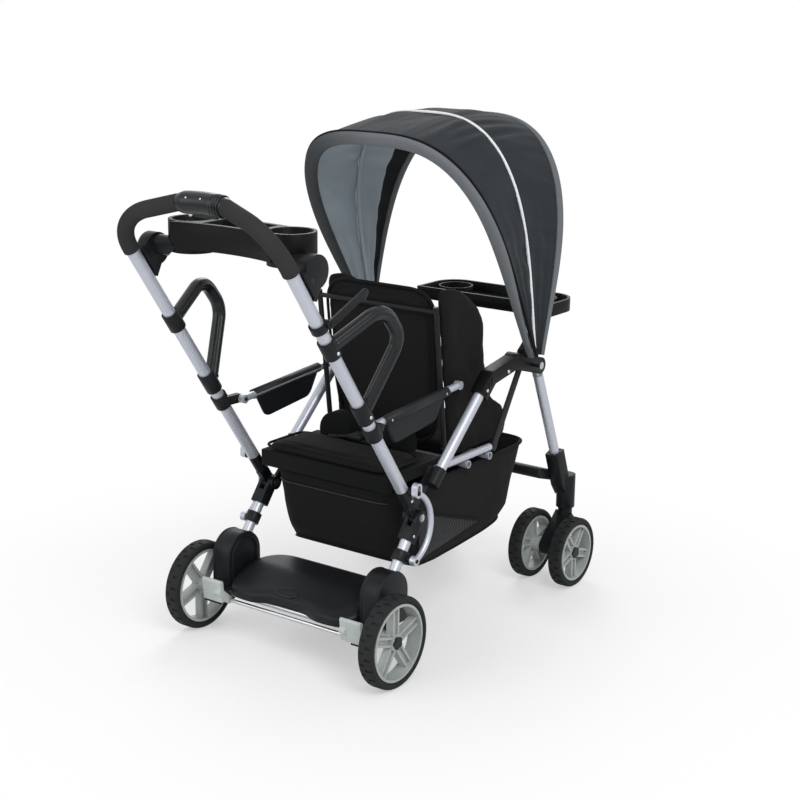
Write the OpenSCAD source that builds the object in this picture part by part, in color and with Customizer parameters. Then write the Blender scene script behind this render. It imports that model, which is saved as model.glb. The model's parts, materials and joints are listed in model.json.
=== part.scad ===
// Sit-and-stand tandem stroller: a front seat under a canopy, a rear bench and a standing platform.
// X runs across, +Y to the rear where the push handle is, +Z up, and the floor is at Z = 0.
// Places are drawn from a datum line ahead of the rear axle, then moved so that Y = 0 is mid-length.

/* [Overall] */
// Distance from the drawing datum to the middle of the stroller's length
datum_to_middle = 141.3; // [130:0.1:152]
// Distance from the drawing datum back to the rear axle
rear_axle_y = 400; // [396:1:404]
// Distance from the rear axle forward to the front axles
wheel_base = 674; // [670:1:678]
// Distance from the middle plane to the handle tubes, side tubes and legs
frame_half = 190; // [188:0.5:192]

/* [Wheels] */
// Diameter of a rear wheel over its tread
rear_wheel_d = 184; // [180:1:186]
// Width of a rear tyre
rear_tyre_w = 34; // [30:1:35]
// Distance from a leg out to the middle of a rear tyre
rear_wheel_out = 58; // [57:1:62]
// Diameter of a front wheel over its tread
front_wheel_d = 156; // [152:1:158]
// Width of a front tyre
front_tyre_w = 32; // [28:1:34]
// Distance from a leg out to the middle of a caster
caster_out = 5; // [4:1:7]
// Distance between the two tyres of a caster, middle to middle
twin_spacing = 104; // [102:1:108]
// Distance that a caster's wheels trail behind its swivel
caster_trail = 56; // [54:1:58]
// Thickness of a tyre between rim and tread
tyre_depth = 15; // [12:1:17]
// Number of spokes in a wheel
spoke_count = 5; // [4:1:7]
// Number of tread grooves around a tyre
tread_count = 24; // [16:1:28]

/* [Tubes] */
// Outside diameter of the push handle tubes
handle_tube_d = 25; // [23:0.5:26]
// Outside diameter of the side tubes
side_tube_d = 22; // [20:0.5:23]
// Outside diameter of the rear legs
rear_leg_d = 22; // [20:0.5:23]
// Outside diameter of the front legs
front_leg_d = 22; // [20:0.5:23]
// Outside diameter of the arm links
arm_link_d = 16; // [14:0.5:17]
// Outside diameter of the seat bars
seat_bar_d = 16; // [14:0.5:16]
// Wall of every tube
tube_wall = 1.5; // [1:0.1:2]
// Outside diameter of the foam grip
grip_d = 32; // [30:1:34]
// Diameter of the fold pins
fold_pin_d = 10; // [8:0.5:11]

/* [Seats] */
// Distance from a leg in to the side of the bench pad
bench_room = 33; // [30:1:40]
// Height of the bench pad's seams above the floor
bench_pad_z = 378; // [377:0.5:380]
// Length of the backrest panel from its lower edge to its top
backrest_len = 340; // [320:1:350]
// Distance from a leg in to the side of the backrest panel
backrest_room = 48; // [48:1:60]
// Thickness of the backrest panel at its middle
backrest_t = 24; // [18:1:26]
// Distance from a leg in to the side of the basket
basket_room = 28; // [28:1:40]
// Thickness of the basket cloth
basket_cloth = 3; // [2:0.5:5]

/* [Canopy] */
// Distance from a side tube out to the middle bow's feet
canopy_out = 19.5; // [19:0.1:21]
// Reach of the rear bow above its pivots
canopy_rear_reach = 575; // [568:1:582]
// Reach of the middle bow above its pivots
canopy_mid_reach = 531; // [524:1:537]
// Reach of the front bow above its pivots
canopy_front_reach = 514; // [507:1:520]
// Diameter of a canopy bow
bow_d = 5; // [4:0.1:5.2]
// Thickness of the canopy cloth
canopy_cloth = 2; // [1.5:0.1:3]

/* [Trays] */
// Inside diameter of the parent tray's cup holders
cup_d = 80; // [74:1:82]
// Distance from a handle tube in to the middle of a cup holder
cup_in = 73; // [70:1:76]
// Height of the parent tray's rim above the floor
tray_rim_z = 887; // [882:1:890]
// Distance from a leg in to the side of the child tray
child_tray_room = 14; // [12:1:25]

/* [Hidden] */
$fn = 48;

// Colours
silver = [0.74, 0.75, 0.79];
black = [0.13, 0.14, 0.15];
charcoal = [0.22, 0.23, 0.24];
pale_grey = [0.66, 0.68, 0.67];
steel = [0.6, 0.61, 0.63];
rubber = [0.1, 0.1, 0.11];

// Clearances, and one overrun for every cut
seat_gap = 0.05;
clear_gap = 0.3;
ear_gap = 0.5;
over = 1;
// How much slimmer a bar is than its round ends, so that no face is tangent to another
slot_slim = 0.4;

// Fold knuckle: three members turn on one pin on each side
knuckle = [248, 290];
handle_lean = 34.9;
side_lean = 47.1;
leg_lean = 37.5;
handle_dir = [sin(handle_lean), cos(handle_lean)];
handle_fwd = [-cos(handle_lean), sin(handle_lean)];
side_dir = [-sin(side_lean), cos(side_lean)];
leg_dir = [sin(leg_lean), -cos(leg_lean)];
leg_fwd = [-cos(leg_lean), -sin(leg_lean)];
tongue_t = 12;
ear_t = 7.5;
ear_w = 26;
ear_r = 15;
tongue_r = 16;
bracket_from = 75;
bracket_to = 112;
bracket_wall = 2.5;
cap_from = 24;
cap_to = 52;
plug_from = 40;
handle_from = 84;
spigot_len = 26;
pin_head_d = 16;
pin_head_t = 1.2;
tongue_in = frame_half - tongue_t / 2;
tongue_out = frame_half + tongue_t / 2;
leg_ear_in = tongue_in - ear_gap - ear_t;
leg_ear_out = tongue_out + ear_gap + ear_t;
side_ear_in = leg_ear_in - ear_gap - ear_t;
rear_wheel_x = frame_half + rear_wheel_out;
caster_x = frame_half + caster_out;
canopy_half = frame_half + canopy_out;
function on_handle(s, u = 0) = knuckle + s * handle_dir + u * handle_fwd;
function on_side(s) = knuckle + s * side_dir;
function on_leg(s, u = 0) = knuckle + s * leg_dir + u * leg_fwd;

// Side tube, hub and front leg
side_from = 82;
side_to = 330;
hub_pivot = [-190, 515];
hub_crown = [-98, 541];
hub_from = 297;
hub_bend = 345;
hub_side_w = 30;
hub_w = 36;
hub_ridge_count = 3;
hub_ridge_step = 13;
hub_ridge_w = 3.5;
hub_ridge_h = 1;
front_fold_angle = 50;
front_lean = 23.1;
front_dir = [-sin(front_lean), -cos(front_lean)];
function on_front(s) = hub_pivot + s * front_dir;
front_tube_from = 26;
front_tube_to = 268;
canopy_pivot = [-150, 525];
canopy_pin_d = 8;

// Seat bars, hangers and cross tubes
seat_bar_z = 362;
seat_bar_x = frame_half - side_tube_d / 2 - ear_gap - seat_bar_d / 2;
seat_bar_rear = 150;
hanger_top = [-149, 511];
hanger_foot = [-55, seat_bar_z];
hanger_t = 3.2;
hanger_w = 20;
hanger_foot_d = 22;
cross_d = 16;
cross_z = seat_bar_z - seat_bar_d / 2 - cross_d / 2 - clear_gap;
cross_front_y = -36;
cross_rear_y = 44;
backrest_half = frame_half - backrest_room;
recline_pivot = [70, seat_bar_z];
recline_pin_d = 8;
recline_lean = 7.1;
recline_dir = [sin(recline_lean), cos(recline_lean)];
recline_back = [cos(recline_lean), -sin(recline_lean)];
back_tube_d = 11;
back_tube_x = backrest_half + clear_gap + back_tube_d / 2;
back_tube_off = backrest_t / 2 + clear_gap + back_tube_d / 2;
back_from = 24;
back_bar_at = 318;
back_eye_d = 18;
back_knee_d = 15;
panel_low = 20;
panel_low_in = 20;
panel_corner = 52;
panel_top = panel_low + backrest_len;
panel_low_half = backrest_half - panel_low_in;
panel_corner_x = backrest_half - panel_corner;
back_knee = on_back(back_from, back_tube_off);
function on_back(s, u = 0) = recline_pivot + s * recline_dir + u * recline_back;
back_foot_dir = unit(back_from * recline_dir + back_tube_off * recline_back);

// Rear bench
bench_half = frame_half - bench_room;
bench_base_half = seat_bar_x - seat_bar_d / 2 - clear_gap;
bench_front = 120;
bench_back = 303;
bench_base_t = 24;
bench_skirt = 34;
bench_wall = 3;
hump_x = 74;
hump_r = 40;
hump_z = 402;
hump_from = 138;
hump_to = 172;
pad_front = 176;
pad_h = 24;
pad_tuck = 7;
pad_x_count = 16;
pad_y_count = 8;

// Front seat
seat_wing_t = 18;
arm_in = 27;
arm_room = 3;
arm_x = frame_half - arm_in;
seat_half = arm_x - arm_link_d / 2 - arm_room - seat_wing_t;
seat_low = cross_z + cross_d / 2 + clear_gap;
seat_pan_front = -150;
seat_pan_rear = 50;
seat_pan_t = 22;
seat_wing = [[-150, 420], [-80, 466], [-58, 560], [-53, 634], [-14, 670], [44, 702], [90, 708]];

// Basket, as a side outline
basket_half = frame_half - basket_room;
basket_top_z = cross_z - cross_d / 2 - clear_gap;
basket_front = -228;
basket_back = 284;
basket_under = [[-206, 291], [-181, 227], [-176, 196], [-140, 180],
  [-30, 167], [120, 157], [191, 160], [246, 180]];

// Rear wheels, axle and platform
rear_axle_z = rear_wheel_d / 2;
rear_axle_d = 12;
rear_axle = [rear_axle_y, rear_axle_z];
axle_cap_r = 13;
axle_cap_t = 4;
axle_lobe_r = 5;
rear_hub_in = 26;
rear_hub_out = 10;
fender_inner = 22;
fender_outer = 23;
fender_in = frame_half - fender_inner;
fender_out = frame_half + fender_outer;
fender_mid = [352, 161];
fender_r = 48;
fender_wall = 3;
fender_floor = 98;
fender_heel = 428;
fender_heel_top = 112;
fender_heel_low = 74;
fender_boss = 10;
leg_boss_d = 29;
leg_to = 214;
platform_front = 262;
platform_rear = 400;
platform_lip = 432;
platform_lip_in = 60;
platform_lip_half = fender_in - platform_lip_in;
platform_top = 152;
platform_low = 100;
platform_edge = 9;
platform_fall = 14;
platform_wall = 3;
ridge_count = 4;
ridge_step = 15;
ridge_fall = 0.35;
ridge_h = 1.5;
ridge_in = 76;
ridge_half = fender_in - ridge_in;
brake_axis = [416, 84];
brake_rod_d = 8;
lever_reach = 15;
lever_w = 50;
lever_in = fender_in - lever_reach;
lever_out = lever_in + lever_w;
lever_pad = [440, 127];
lever_drop = 42;
lever_arm_w = 15;
lever_pad_t = 9;

// Front casters
front_axle_z = front_wheel_d / 2;
front_axle_y = rear_axle_y - wheel_base;
front_axle = [front_axle_y, front_axle_z];
front_axle_d = 9;
stem_y = front_axle_y - caster_trail;
stem_d = 12;
yoke_r = 20;
yoke_half = 21;
yoke_mid_z = 128;
yoke_nose = [stem_y, yoke_mid_z] - yoke_r / 2 * unit(front_axle - [stem_y, yoke_mid_z]);
stem_head_r = 9;
stem_head_t = 5;
stem_flange_t = 5;
stem_flange_z = 160;
fork_r = 21;
fork_low = 160;
fork_top = 236;
fork_guide = 20;
fork_wall = 4;
fork_socket_w = 31;
fork_socket_from = 236;
fork_knee = [-312, 222];
spring_r = 12;
spring_wire = 3;
spring_turn_count = 5;
spring_step_count = 10;
spring_side_count = 6;
susp_travel = 10;
crossbar_half = frame_half - fork_socket_w / 2 - seat_gap;
crossbar_rear = [-258, 250];
crossbar_front = [-296, 238];
crossbar_t = 24;
front_hub_in = twin_spacing / 2 - yoke_half - clear_gap;
front_hub_out = 9;

// Wheel details
rim_lip = 5;
rim_inset = 1.5;
spoke_rib_w = 5;
spoke_gap = 7.4;
spoke_depth = 16;
spoke_web = 5;
hub_barrel_r = 17;
tread_groove_w = 5;
tread_groove_d = 2.2;
tyre_round = 7;

// Push handle
handle_to = 690;
grip_from = 660;
grip_corner = 741;
grip_bend_r = 80;
grip_bend_angle = 86.2;
grip_turn_angle = 19.4;
bend_lap_angle = 3;
bend_slim = 0.4;
grip_bar_end_x = 57;
grip_reach = [sin(grip_bend_angle) * cos(grip_turn_angle), -sin(grip_bend_angle) * sin(grip_turn_angle),
  cos(grip_bend_angle)];
grip_bar = (frame_half - grip_bar_end_x) / grip_reach[0];
function turned(v, a) = [v[0], v[1] * cos(a) - v[2] * sin(a), v[1] * sin(a) + v[2] * cos(a)];
// Where the right grip's bar would end, which gives the housing its place
bar_end = [-frame_half, on_handle(grip_corner)[0], on_handle(grip_corner)[1]]
  + grip_bar * turned(grip_reach, -handle_lean);
housing_half = 50;
housing_d = 41;
collar_d = 36;
trigger_half = 27;
trigger_w = 12;
trigger_drop = 26;
trigger_h = 20;
button_x = 41;
button_d = 10;
button_drop = 27;
button_h = 20;
press_room = 7;

// Parent tray
cup_wall = 4;
cup_x = frame_half - cup_in;
cup_y = 537;
tray_rim_out = 3;
cup_rim_d = cup_d + 2 * cup_wall + 2 * tray_rim_out;
cup_floor_z = 826;
tray_floor_z = 836;
tray_rim_h = 40;
tray_step = 7;
tray_well_inset = 10;
tray_half_depth = 44;
tray_bow_r = 420;
tray_facet_count = 96;
tray_well_in = 55;
tray_well_half = cup_x - tray_well_in;
tray_well_depth = 50;
arm_plate_t = 24;
arm_plate_over = 13;
arm_plate_out = frame_half + arm_plate_over;
arm_plate_low = [582, 12.5];
arm_plate_toe = [594, 34];
arm_plate_knee = [620, 76];
arm_plate_mid = [624, 44];
arm_plate_r = 31;
arm_plate_top = [650, 12.5];
arm_bar_mid = [628, 52];
arm_bar_r = 19;

// Grab handles
grab_d = 19;
grab_splay = 26;
clamp_low_from = 284;
clamp_low_to = 330;
clamp_high_from = 457;
clamp_high_to = 496;
clamp_wall = 4;
grab_turn_r = 34;
grab_top = [141, 457];
grab_tip = [146, 378];
grab_start = 20;
grab_side_count = 12;
grab_step_count = 6;
grab_high = [grab_start, (clamp_high_from + clamp_high_to) / 2];
grab_low = [grab_start, (clamp_low_from + clamp_low_to) / 2];
grab_slope = grab_splay / grab_tip[0];

// Arm links and fold links
arm_pivot = [354, 495];
arm_tip = [66, 517];
arm_dir = unit(arm_tip - arm_pivot);
arm_pin_d = 8;
arm_eye_d = 18;
arm_eye_half = 6.5;
arm_clamp_from = 236;
arm_clamp_to = 266;
flap_t = 3;
flap_drop = 52;
flap_front = 116;
flap_rear = 318;
flap_taper = 32;
link_high_s = 75.6;
link_high_u = 5;
link_low_s = 84.7;
link_low_u = 9.6;
link_d = 12;
link_out = 29.5;
link_x = frame_half + link_out;
link_bow_r = 72;
link_pin_d = 8;
link_pin_over = 7.5;
link_pin_out = link_x + link_pin_over;
link_eye_d = 19;
link_slot = 10.5;
link_collar_d = 31;
link_collar_len = 22;
link_boss_d = 16;
link_low = on_leg(link_low_s, link_low_u);
link_high = on_handle(link_high_s, link_high_u);
link_slot_end = link_high + link_slot * unit(link_high - link_low);
link_half = norm(link_high - link_low) / 2;
link_centre = (link_low + link_high) / 2 + [sqrt(pow(link_bow_r, 2) - pow(link_half, 2)), 0];
link_sweep = asin(link_half / link_bow_r);

// Storage latch
latch_pivot_s = 529.8;
latch_pivot_u = 11;
latch_root = on_handle(latch_pivot_s, latch_pivot_u);
latch_tip = [443, 772];
latch_in = frame_half + handle_tube_d / 2 + clamp_wall + ear_gap;
latch_t = 6;
latch_w = 16;
latch_hook = 9;
latch_pin_d = 7;

// Canopy bows, as angles ahead of upright, with shares that set how square each bow is
rear_bow_angle = -31.6;
mid_bow_angle = -12;
front_bow_angle = 13;
rear_bow_share = 0.61;
mid_bow_share = 0.66;
front_bow_share = 0.76;
rear_bulge = 42;
mid_bulge = 26;
front_bulge = 30;
bow_ring_count = 28;
bow_side_count = 8;
bow_pitch = bow_d + 2 * ear_gap;
rear_half = canopy_half + bow_pitch;
front_half = canopy_half + 2 * bow_pitch;
bow_disc_r = 13;
bow_disc_t = 4.6;
bow_foot = 26;
panel_ring_count = 28;
panel_strip_count = 4;
panel_foot = 42;
panel_lift = 0.6;
panel_angle_gap = 0.7;
// A bow is given as [angle, half width at its feet, reach, share, bulge]
rear_bow = [rear_bow_angle, rear_half, canopy_rear_reach, rear_bow_share, rear_bulge];
mid_bow = [mid_bow_angle, canopy_half, canopy_mid_reach, mid_bow_share, mid_bulge];
front_bow = [front_bow_angle, front_half, canopy_front_reach, front_bow_share, front_bulge];

// Child tray
child_tray_half = frame_half - child_tray_room;
child_tray_front = -394;
child_tray_rear = -262;
child_tray_z = 604;
child_tray_t = 28;
child_tray_round = 58;
child_tray_wall = 3;
child_cup_r = 36;
child_cup_in = 64;
child_cup_x = child_tray_half - child_cup_in;
child_cup_y = -326;
child_arm_t = 17.7;
child_arm_foot = [-174, 540];
child_arm_w = 22;

// Shared shapes
module placed() translate([0, -datum_to_middle, 0]) children();
module both() {
  children();
  mirror([1, 0, 0]) children();
}
module rod(x, p, q, d) {
  v = q - p;
  translate([x, p[0], p[1]]) rotate([atan2(-v[0], v[1]), 0, 0]) cylinder(h = norm(v), d = d);
}
module pipe(x, p, q, d) {
  v = (q - p) / norm(q - p);
  difference() {
    rod(x, p, q, d);
    rod(x, p - over * v, q + over * v, d - 2 * tube_wall);
  }
}
module pin(x0, x1, p, d) translate([x0, p[0], p[1]]) rotate([0, 90, 0]) cylinder(h = x1 - x0, d = d);
module plate(x0, x1) translate([x0, 0, 0]) rotate([90, 0, 90]) linear_extrude(x1 - x0) children();
module disc(p, r) translate(p) circle(r);
module bar(p, q, w) {
  v = q - p;
  translate(p) rotate(atan2(v[1], v[0])) translate([0, -w / 2]) square([norm(v), w]);
}
module slot(p, q, w) {
  bar(p, q, w - slot_slim);
  disc(p, w / 2);
  disc(q, w / 2);
}
// A tube of flat sides swept along a path that lies in the plane whose normal is n
function unit(v) = v / norm(v);
function heading(p, i) = unit(p[min(i + 1, len(p) - 1)] - p[max(i - 1, 0)]);
function ring(p, i, n, r, sides) = let (b = cross(heading(p, i), n))
  [for (k = [0 : sides - 1]) p[i] + r * (cos(360 * k / sides) * n + sin(360 * k / sides) * b)];
module swept(path, n, r, sides) {
  last = len(path) - 1;
  points = [for (i = [0 : last]) each ring(path, i, n, r, sides)];
  skin = [for (i = [0 : last - 1]) for (k = [0 : sides - 1])
    let (a = i * sides + k, b = i * sides + (k + 1) % sides)
    each [[a, b + sides, b], [a, a + sides, b + sides]]];
  start = [for (k = [1 : sides - 2]) [0, k, k + 1]];
  end = [for (k = [1 : sides - 2]) [last * sides, last * sides + k + 1, last * sides + k]];
  polyhedron(points, concat(skin, start, end));
}

// Seat frame
module side_tubes() color(silver) placed() both()
  pipe(frame_half, on_side(side_from), on_side(side_to), side_tube_d);

module side_brackets() color(black) placed() both() difference() {
  union() {
    plate(side_ear_in, side_ear_in + ear_t) {
      disc(knuckle, ear_r);
      bar(knuckle, on_side(bracket_to), side_tube_d);
    }
    plate(side_ear_in + ear_t / 2, frame_half - side_tube_d / 4)
      bar(on_side(bracket_from), on_side(bracket_to), side_tube_d - ear_t);
    rod(frame_half, on_side(bracket_from - over), on_side(bracket_to + over),
      side_tube_d + 2 * bracket_wall);
  }
  rod(frame_half, on_side(side_from), on_side(bracket_to + 2 * over), side_tube_d + 2 * seat_gap);
  pin(side_ear_in - over, frame_half, knuckle, fold_pin_d + 2 * seat_gap);
}

module fold_pins() color(steel) placed() both() {
  pin(side_ear_in - pin_head_t, leg_ear_out + ear_gap + pin_head_t, knuckle, fold_pin_d);
  pin(side_ear_in - pin_head_t, side_ear_in - seat_gap, knuckle, pin_head_d);
  pin(leg_ear_out + ear_gap, leg_ear_out + ear_gap + pin_head_t, knuckle, pin_head_d);
  pin(leg_ear_in - pin_head_t, leg_ear_out + pin_head_t, hub_pivot, fold_pin_d);
  pin(leg_ear_in - pin_head_t, leg_ear_in - seat_gap, hub_pivot, pin_head_d);
  pin(leg_ear_out + seat_gap, leg_ear_out + pin_head_t, hub_pivot, pin_head_d);
}

module hub_outline() {
  bar(on_side(hub_from), on_side(hub_bend), hub_side_w - slot_slim);
  disc(on_side(hub_bend), hub_side_w / 2);
  slot(on_side(hub_bend), hub_crown, hub_side_w);
  slot(hub_crown, hub_pivot, hub_w);
}
module hubs() color(black) placed() both() difference() {
  union() {
    plate(leg_ear_in, leg_ear_out) hub_outline();
    for (i = [0 : hub_ridge_count - 1]) plate(leg_ear_out, leg_ear_out + hub_ridge_h)
      bar(on_side(hub_bend - hub_w + i * hub_ridge_step) + [0, hub_side_w / 4],
        on_side(hub_bend - hub_w + i * hub_ridge_step) - [0, hub_side_w / 4], hub_ridge_w);
    pin(leg_ear_out, canopy_half + 3 * bow_disc_t, canopy_pivot, canopy_pin_d);
  }
  rod(frame_half, on_side(hub_from - over), on_side(side_to + clear_gap), side_tube_d + 2 * seat_gap);
  plate(tongue_in - ear_gap, tongue_out + ear_gap) {
    disc(hub_pivot, tongue_r + over);
    for (a = [0, front_fold_angle / 2, front_fold_angle])
      bar(hub_pivot, hub_pivot + 2 * hub_w * [-sin(front_lean - a), -cos(front_lean - a)], 2 * tongue_r);
  }
  pin(leg_ear_in - over, leg_ear_out + over, hub_pivot, fold_pin_d + 2 * seat_gap);
}

module seat_bars() color(silver) placed() both() {
  pipe(seat_bar_x, hanger_foot + [hanger_foot_d / 2 + clear_gap, 0], [seat_bar_rear, seat_bar_z],
    seat_bar_d);
  pin(back_tube_x - back_tube_d / 2, seat_bar_x - seat_bar_d / 2 + tube_wall, recline_pivot, recline_pin_d);
}

module seat_hangers() color(black) placed() both() {
  plate(leg_ear_in - clear_gap - hanger_t, leg_ear_in - clear_gap) slot(hanger_top, hanger_foot, hanger_w);
  pin(seat_bar_x - seat_bar_d / 2, leg_ear_in + ear_gap, hanger_foot, hanger_foot_d);
}

module cross_tubes() color(silver) placed() for (y = [cross_front_y, cross_rear_y]) {
  half = seat_bar_x + seat_bar_d / 2;
  translate([0, y, cross_z]) rotate([0, 90, 0]) difference() {
    cylinder(h = 2 * half, d = cross_d, center = true);
    cylinder(h = 2 * half + over, d = cross_d - 2 * tube_wall, center = true);
  }
}

// Rear bench
module bench_base() color(black) placed() difference() {
  union() {
    plate(-bench_base_half, bench_base_half) polygon([
      [bench_front, bench_pad_z - bench_base_t], [bench_front, bench_pad_z],
      [bench_back, bench_pad_z], [bench_back, bench_pad_z - bench_skirt],
      [bench_back - 2 * bench_wall, bench_pad_z - bench_skirt],
      [bench_back - bench_skirt, bench_pad_z - bench_base_t]]);
    for (s = [-1, 1]) translate([s * hump_x, hump_from, hump_z]) rotate([-90, 0, 0])
      cylinder(h = hump_to - hump_from, r = hump_r);
  }
  translate([-bench_base_half + bench_wall, bench_front + bench_wall, bench_pad_z - 2 * bench_skirt])
    cube([2 * (bench_base_half - bench_wall), bench_back - bench_front - 2 * bench_wall,
      2 * bench_skirt - bench_wall]);
}

// A pad with a crowned top, drawn-in sides and a flat underside
function pad_edge(u) = 1 - pow(abs(u), 4);
function pad_x(u, v) = (bench_half - pad_tuck * (1 - pow(v, 2))) * u;
function pad_y(u, v) = (pad_front + bench_back) / 2
  + ((bench_back - pad_front) / 2 - pad_tuck * (1 - pow(u, 2))) * v;
module bench_pad() color(charcoal) placed() {
  grid = [for (j = [0 : pad_y_count]) for (i = [0 : pad_x_count])
    [2 * i / pad_x_count - 1, 2 * j / pad_y_count - 1]];
  size = len(grid);
  low = [for (g = grid) [pad_x(g[0], g[1]), pad_y(g[0], g[1]), bench_pad_z + clear_gap]];
  high = [for (g = grid) [pad_x(g[0], g[1]), pad_y(g[0], g[1]),
    bench_pad_z + clear_gap + pad_h * (1 + 3 * pad_edge(g[0]) * pad_edge(g[1])) / 4]];
  row = pad_x_count + 1;
  top = [for (j = [0 : pad_y_count - 1]) for (i = [0 : pad_x_count - 1]) let (a = size + j * row + i)
    each [[a, a + row, a + row + 1], [a, a + row + 1, a + 1]]];
  base = [for (j = [0 : pad_y_count - 1]) for (i = [0 : pad_x_count - 1]) let (a = j * row + i)
    each [[a, a + row + 1, a + row], [a, a + 1, a + row + 1]]];
  rim = concat([for (i = [0 : pad_x_count - 1]) i], [for (j = [0 : pad_y_count - 1]) j * row + pad_x_count],
    [for (i = [pad_x_count : -1 : 1]) pad_y_count * row + i], [for (j = [pad_y_count : -1 : 1]) j * row]);
  wall = [for (k = [0 : len(rim) - 1]) let (a = rim[k], b = rim[(k + 1) % len(rim)])
    each [[a, b + size, b], [a, a + size, b + size]]];
  polyhedron(concat(low, high), concat(top, base, wall));
}

// Front seat
module front_seat() color(charcoal) placed() {
  plate(-seat_half, seat_half) polygon([
    [seat_pan_front, seat_low], [seat_pan_front, seat_low + 2 * seat_pan_t],
    [seat_pan_front + seat_pan_t, seat_low + 2 * seat_pan_t],
    [seat_pan_rear, seat_low + seat_pan_t], [seat_pan_rear, seat_low]]);
  both() plate(seat_half + clear_gap, seat_half + seat_wing_t)
    polygon(concat([[seat_pan_rear, seat_low], [seat_pan_front, seat_low]], seat_wing));
}

module basket_outline(w) {
  polygon([[basket_front + w, basket_top_z], for (p = basket_under) p + [p[0] < 0 ? w / 2 : -w / 2, w],
    [basket_back - w, basket_top_z]]);
}
module basket() color(black) placed() difference() {
  plate(-basket_half, basket_half) basket_outline(0);
  plate(-basket_half + basket_cloth, basket_half - basket_cloth) union() {
    basket_outline(basket_cloth);
    translate([basket_front + basket_cloth, basket_top_z - over])
      square([basket_back - basket_front - 2 * basket_cloth, 2 * over]);
  }
}

// Backrest
module backrest_frame() color(silver) placed() {
  both() difference() {
    union() {
      pin(back_tube_x - back_tube_d / 2 - over, back_tube_x + back_tube_d / 2 + over, recline_pivot,
        back_eye_d);
      rod(back_tube_x, recline_pivot + back_tube_d / 3 * back_foot_dir,
        back_knee - back_tube_d / 4 * back_foot_dir, back_tube_d);
      rod(back_tube_x, on_back(back_from + back_tube_d / 4, back_tube_off),
        on_back(back_bar_at + back_tube_d, back_tube_off), back_tube_d);
      translate([back_tube_x, back_knee[0], back_knee[1]]) sphere(d = back_knee_d);
    }
    pin(back_tube_x - back_tube_d, back_tube_x + back_tube_d, recline_pivot, recline_pin_d + 2 * seat_gap);
  }
  pin(-back_tube_x + back_tube_d / 4, back_tube_x - back_tube_d / 4, on_back(back_bar_at, back_tube_off),
    back_tube_d - over);
}
module backrest_panel() color(black) placed()
  translate([0, recline_pivot[0], recline_pivot[1]]) rotate([-recline_lean, 0, 0]) rotate([90, 0, 0])
    translate([0, 0, -backrest_t / 2]) linear_extrude(backrest_t) {
      polygon([[-panel_low_half, panel_low], [panel_low_half, panel_low],
        [backrest_half, panel_top - panel_corner], [panel_corner_x, panel_top],
        [-panel_corner_x, panel_top], [-backrest_half, panel_top - panel_corner]]);
      for (s = [-1, 1]) translate([s * panel_corner_x, panel_top - panel_corner]) circle(panel_corner);
    }

// Rear frame
module leg_caps() color(black) placed() both() {
  difference() {
    union() {
      for (x = [leg_ear_in, leg_ear_out - ear_t]) plate(x, x + ear_t) {
        disc(knuckle, ear_r);
        bar(knuckle, on_leg(cap_to), ear_w);
      }
      plate(leg_ear_in, leg_ear_out) bar(on_leg(cap_from), on_leg(cap_to), ear_w);
    }
    rod(frame_half, on_leg(cap_from + 2 * over), on_leg(cap_to + over), rear_leg_d + 2 * seat_gap);
    pin(leg_ear_in - over, leg_ear_out + over, knuckle, fold_pin_d + 2 * seat_gap);
  }
  difference() {
    union() {
      rod(frame_half, on_leg(link_low_s - link_collar_len / 2), on_leg(link_low_s + link_collar_len / 2),
        link_collar_d);
      pin(frame_half, link_x - link_d / 2 - ear_gap, link_low, link_boss_d);
      pin(frame_half, link_pin_out, link_low, link_pin_d);
    }
    rod(frame_half, on_leg(cap_to), on_leg(leg_to), rear_leg_d + 2 * seat_gap);
  }
}

module rear_legs() color(silver) placed() both()
  pipe(frame_half, on_leg(cap_from + 3 * over), on_leg(leg_to), rear_leg_d);

module fender_outline(w) {
  disc(fender_mid, fender_r - w);
  translate([fender_mid[0] - fender_r + w, fender_floor])
    square([2 * (fender_r - w), fender_mid[1] - fender_floor]);
}
module fenders() color(black) placed() both() difference() {
  union() {
    difference() {
      plate(fender_in, fender_out) fender_outline(0);
      plate(fender_in + fender_wall, fender_out - fender_wall) {
        fender_outline(fender_wall);
        translate([fender_mid[0] - fender_r + fender_wall, fender_floor - over])
          square([2 * (fender_r - fender_wall), 2 * over]);
      }
    }
    plate(fender_in, fender_out) difference() {
      translate([fender_mid[0], fender_heel_low])
        square([fender_heel - fender_mid[0], fender_heel_top - fender_heel_low]);
      translate([fender_mid[0] + fender_wall, fender_heel_low - over])
        square([rear_axle_y - fender_mid[0] - 2 * fender_boss,
          fender_heel_top - fender_heel_low - fender_wall + over]);
    }
    intersection() {
      rod(frame_half, on_leg(cap_to), on_leg(leg_to), leg_boss_d);
      plate(fender_in, fender_out) fender_outline(0);
    }
    pin(fender_out - over, rear_wheel_x - rear_hub_in - clear_gap, rear_axle, 2 * hub_barrel_r);
  }
  rod(frame_half, on_leg(cap_to), on_leg(leg_to + clear_gap), rear_leg_d + 2 * seat_gap);
  pin(fender_in - over, rear_wheel_x, rear_axle, rear_axle_d + 2 * seat_gap);
  pin(fender_in - over, fender_out + over, brake_axis, brake_rod_d + 2 * seat_gap);
}

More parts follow.
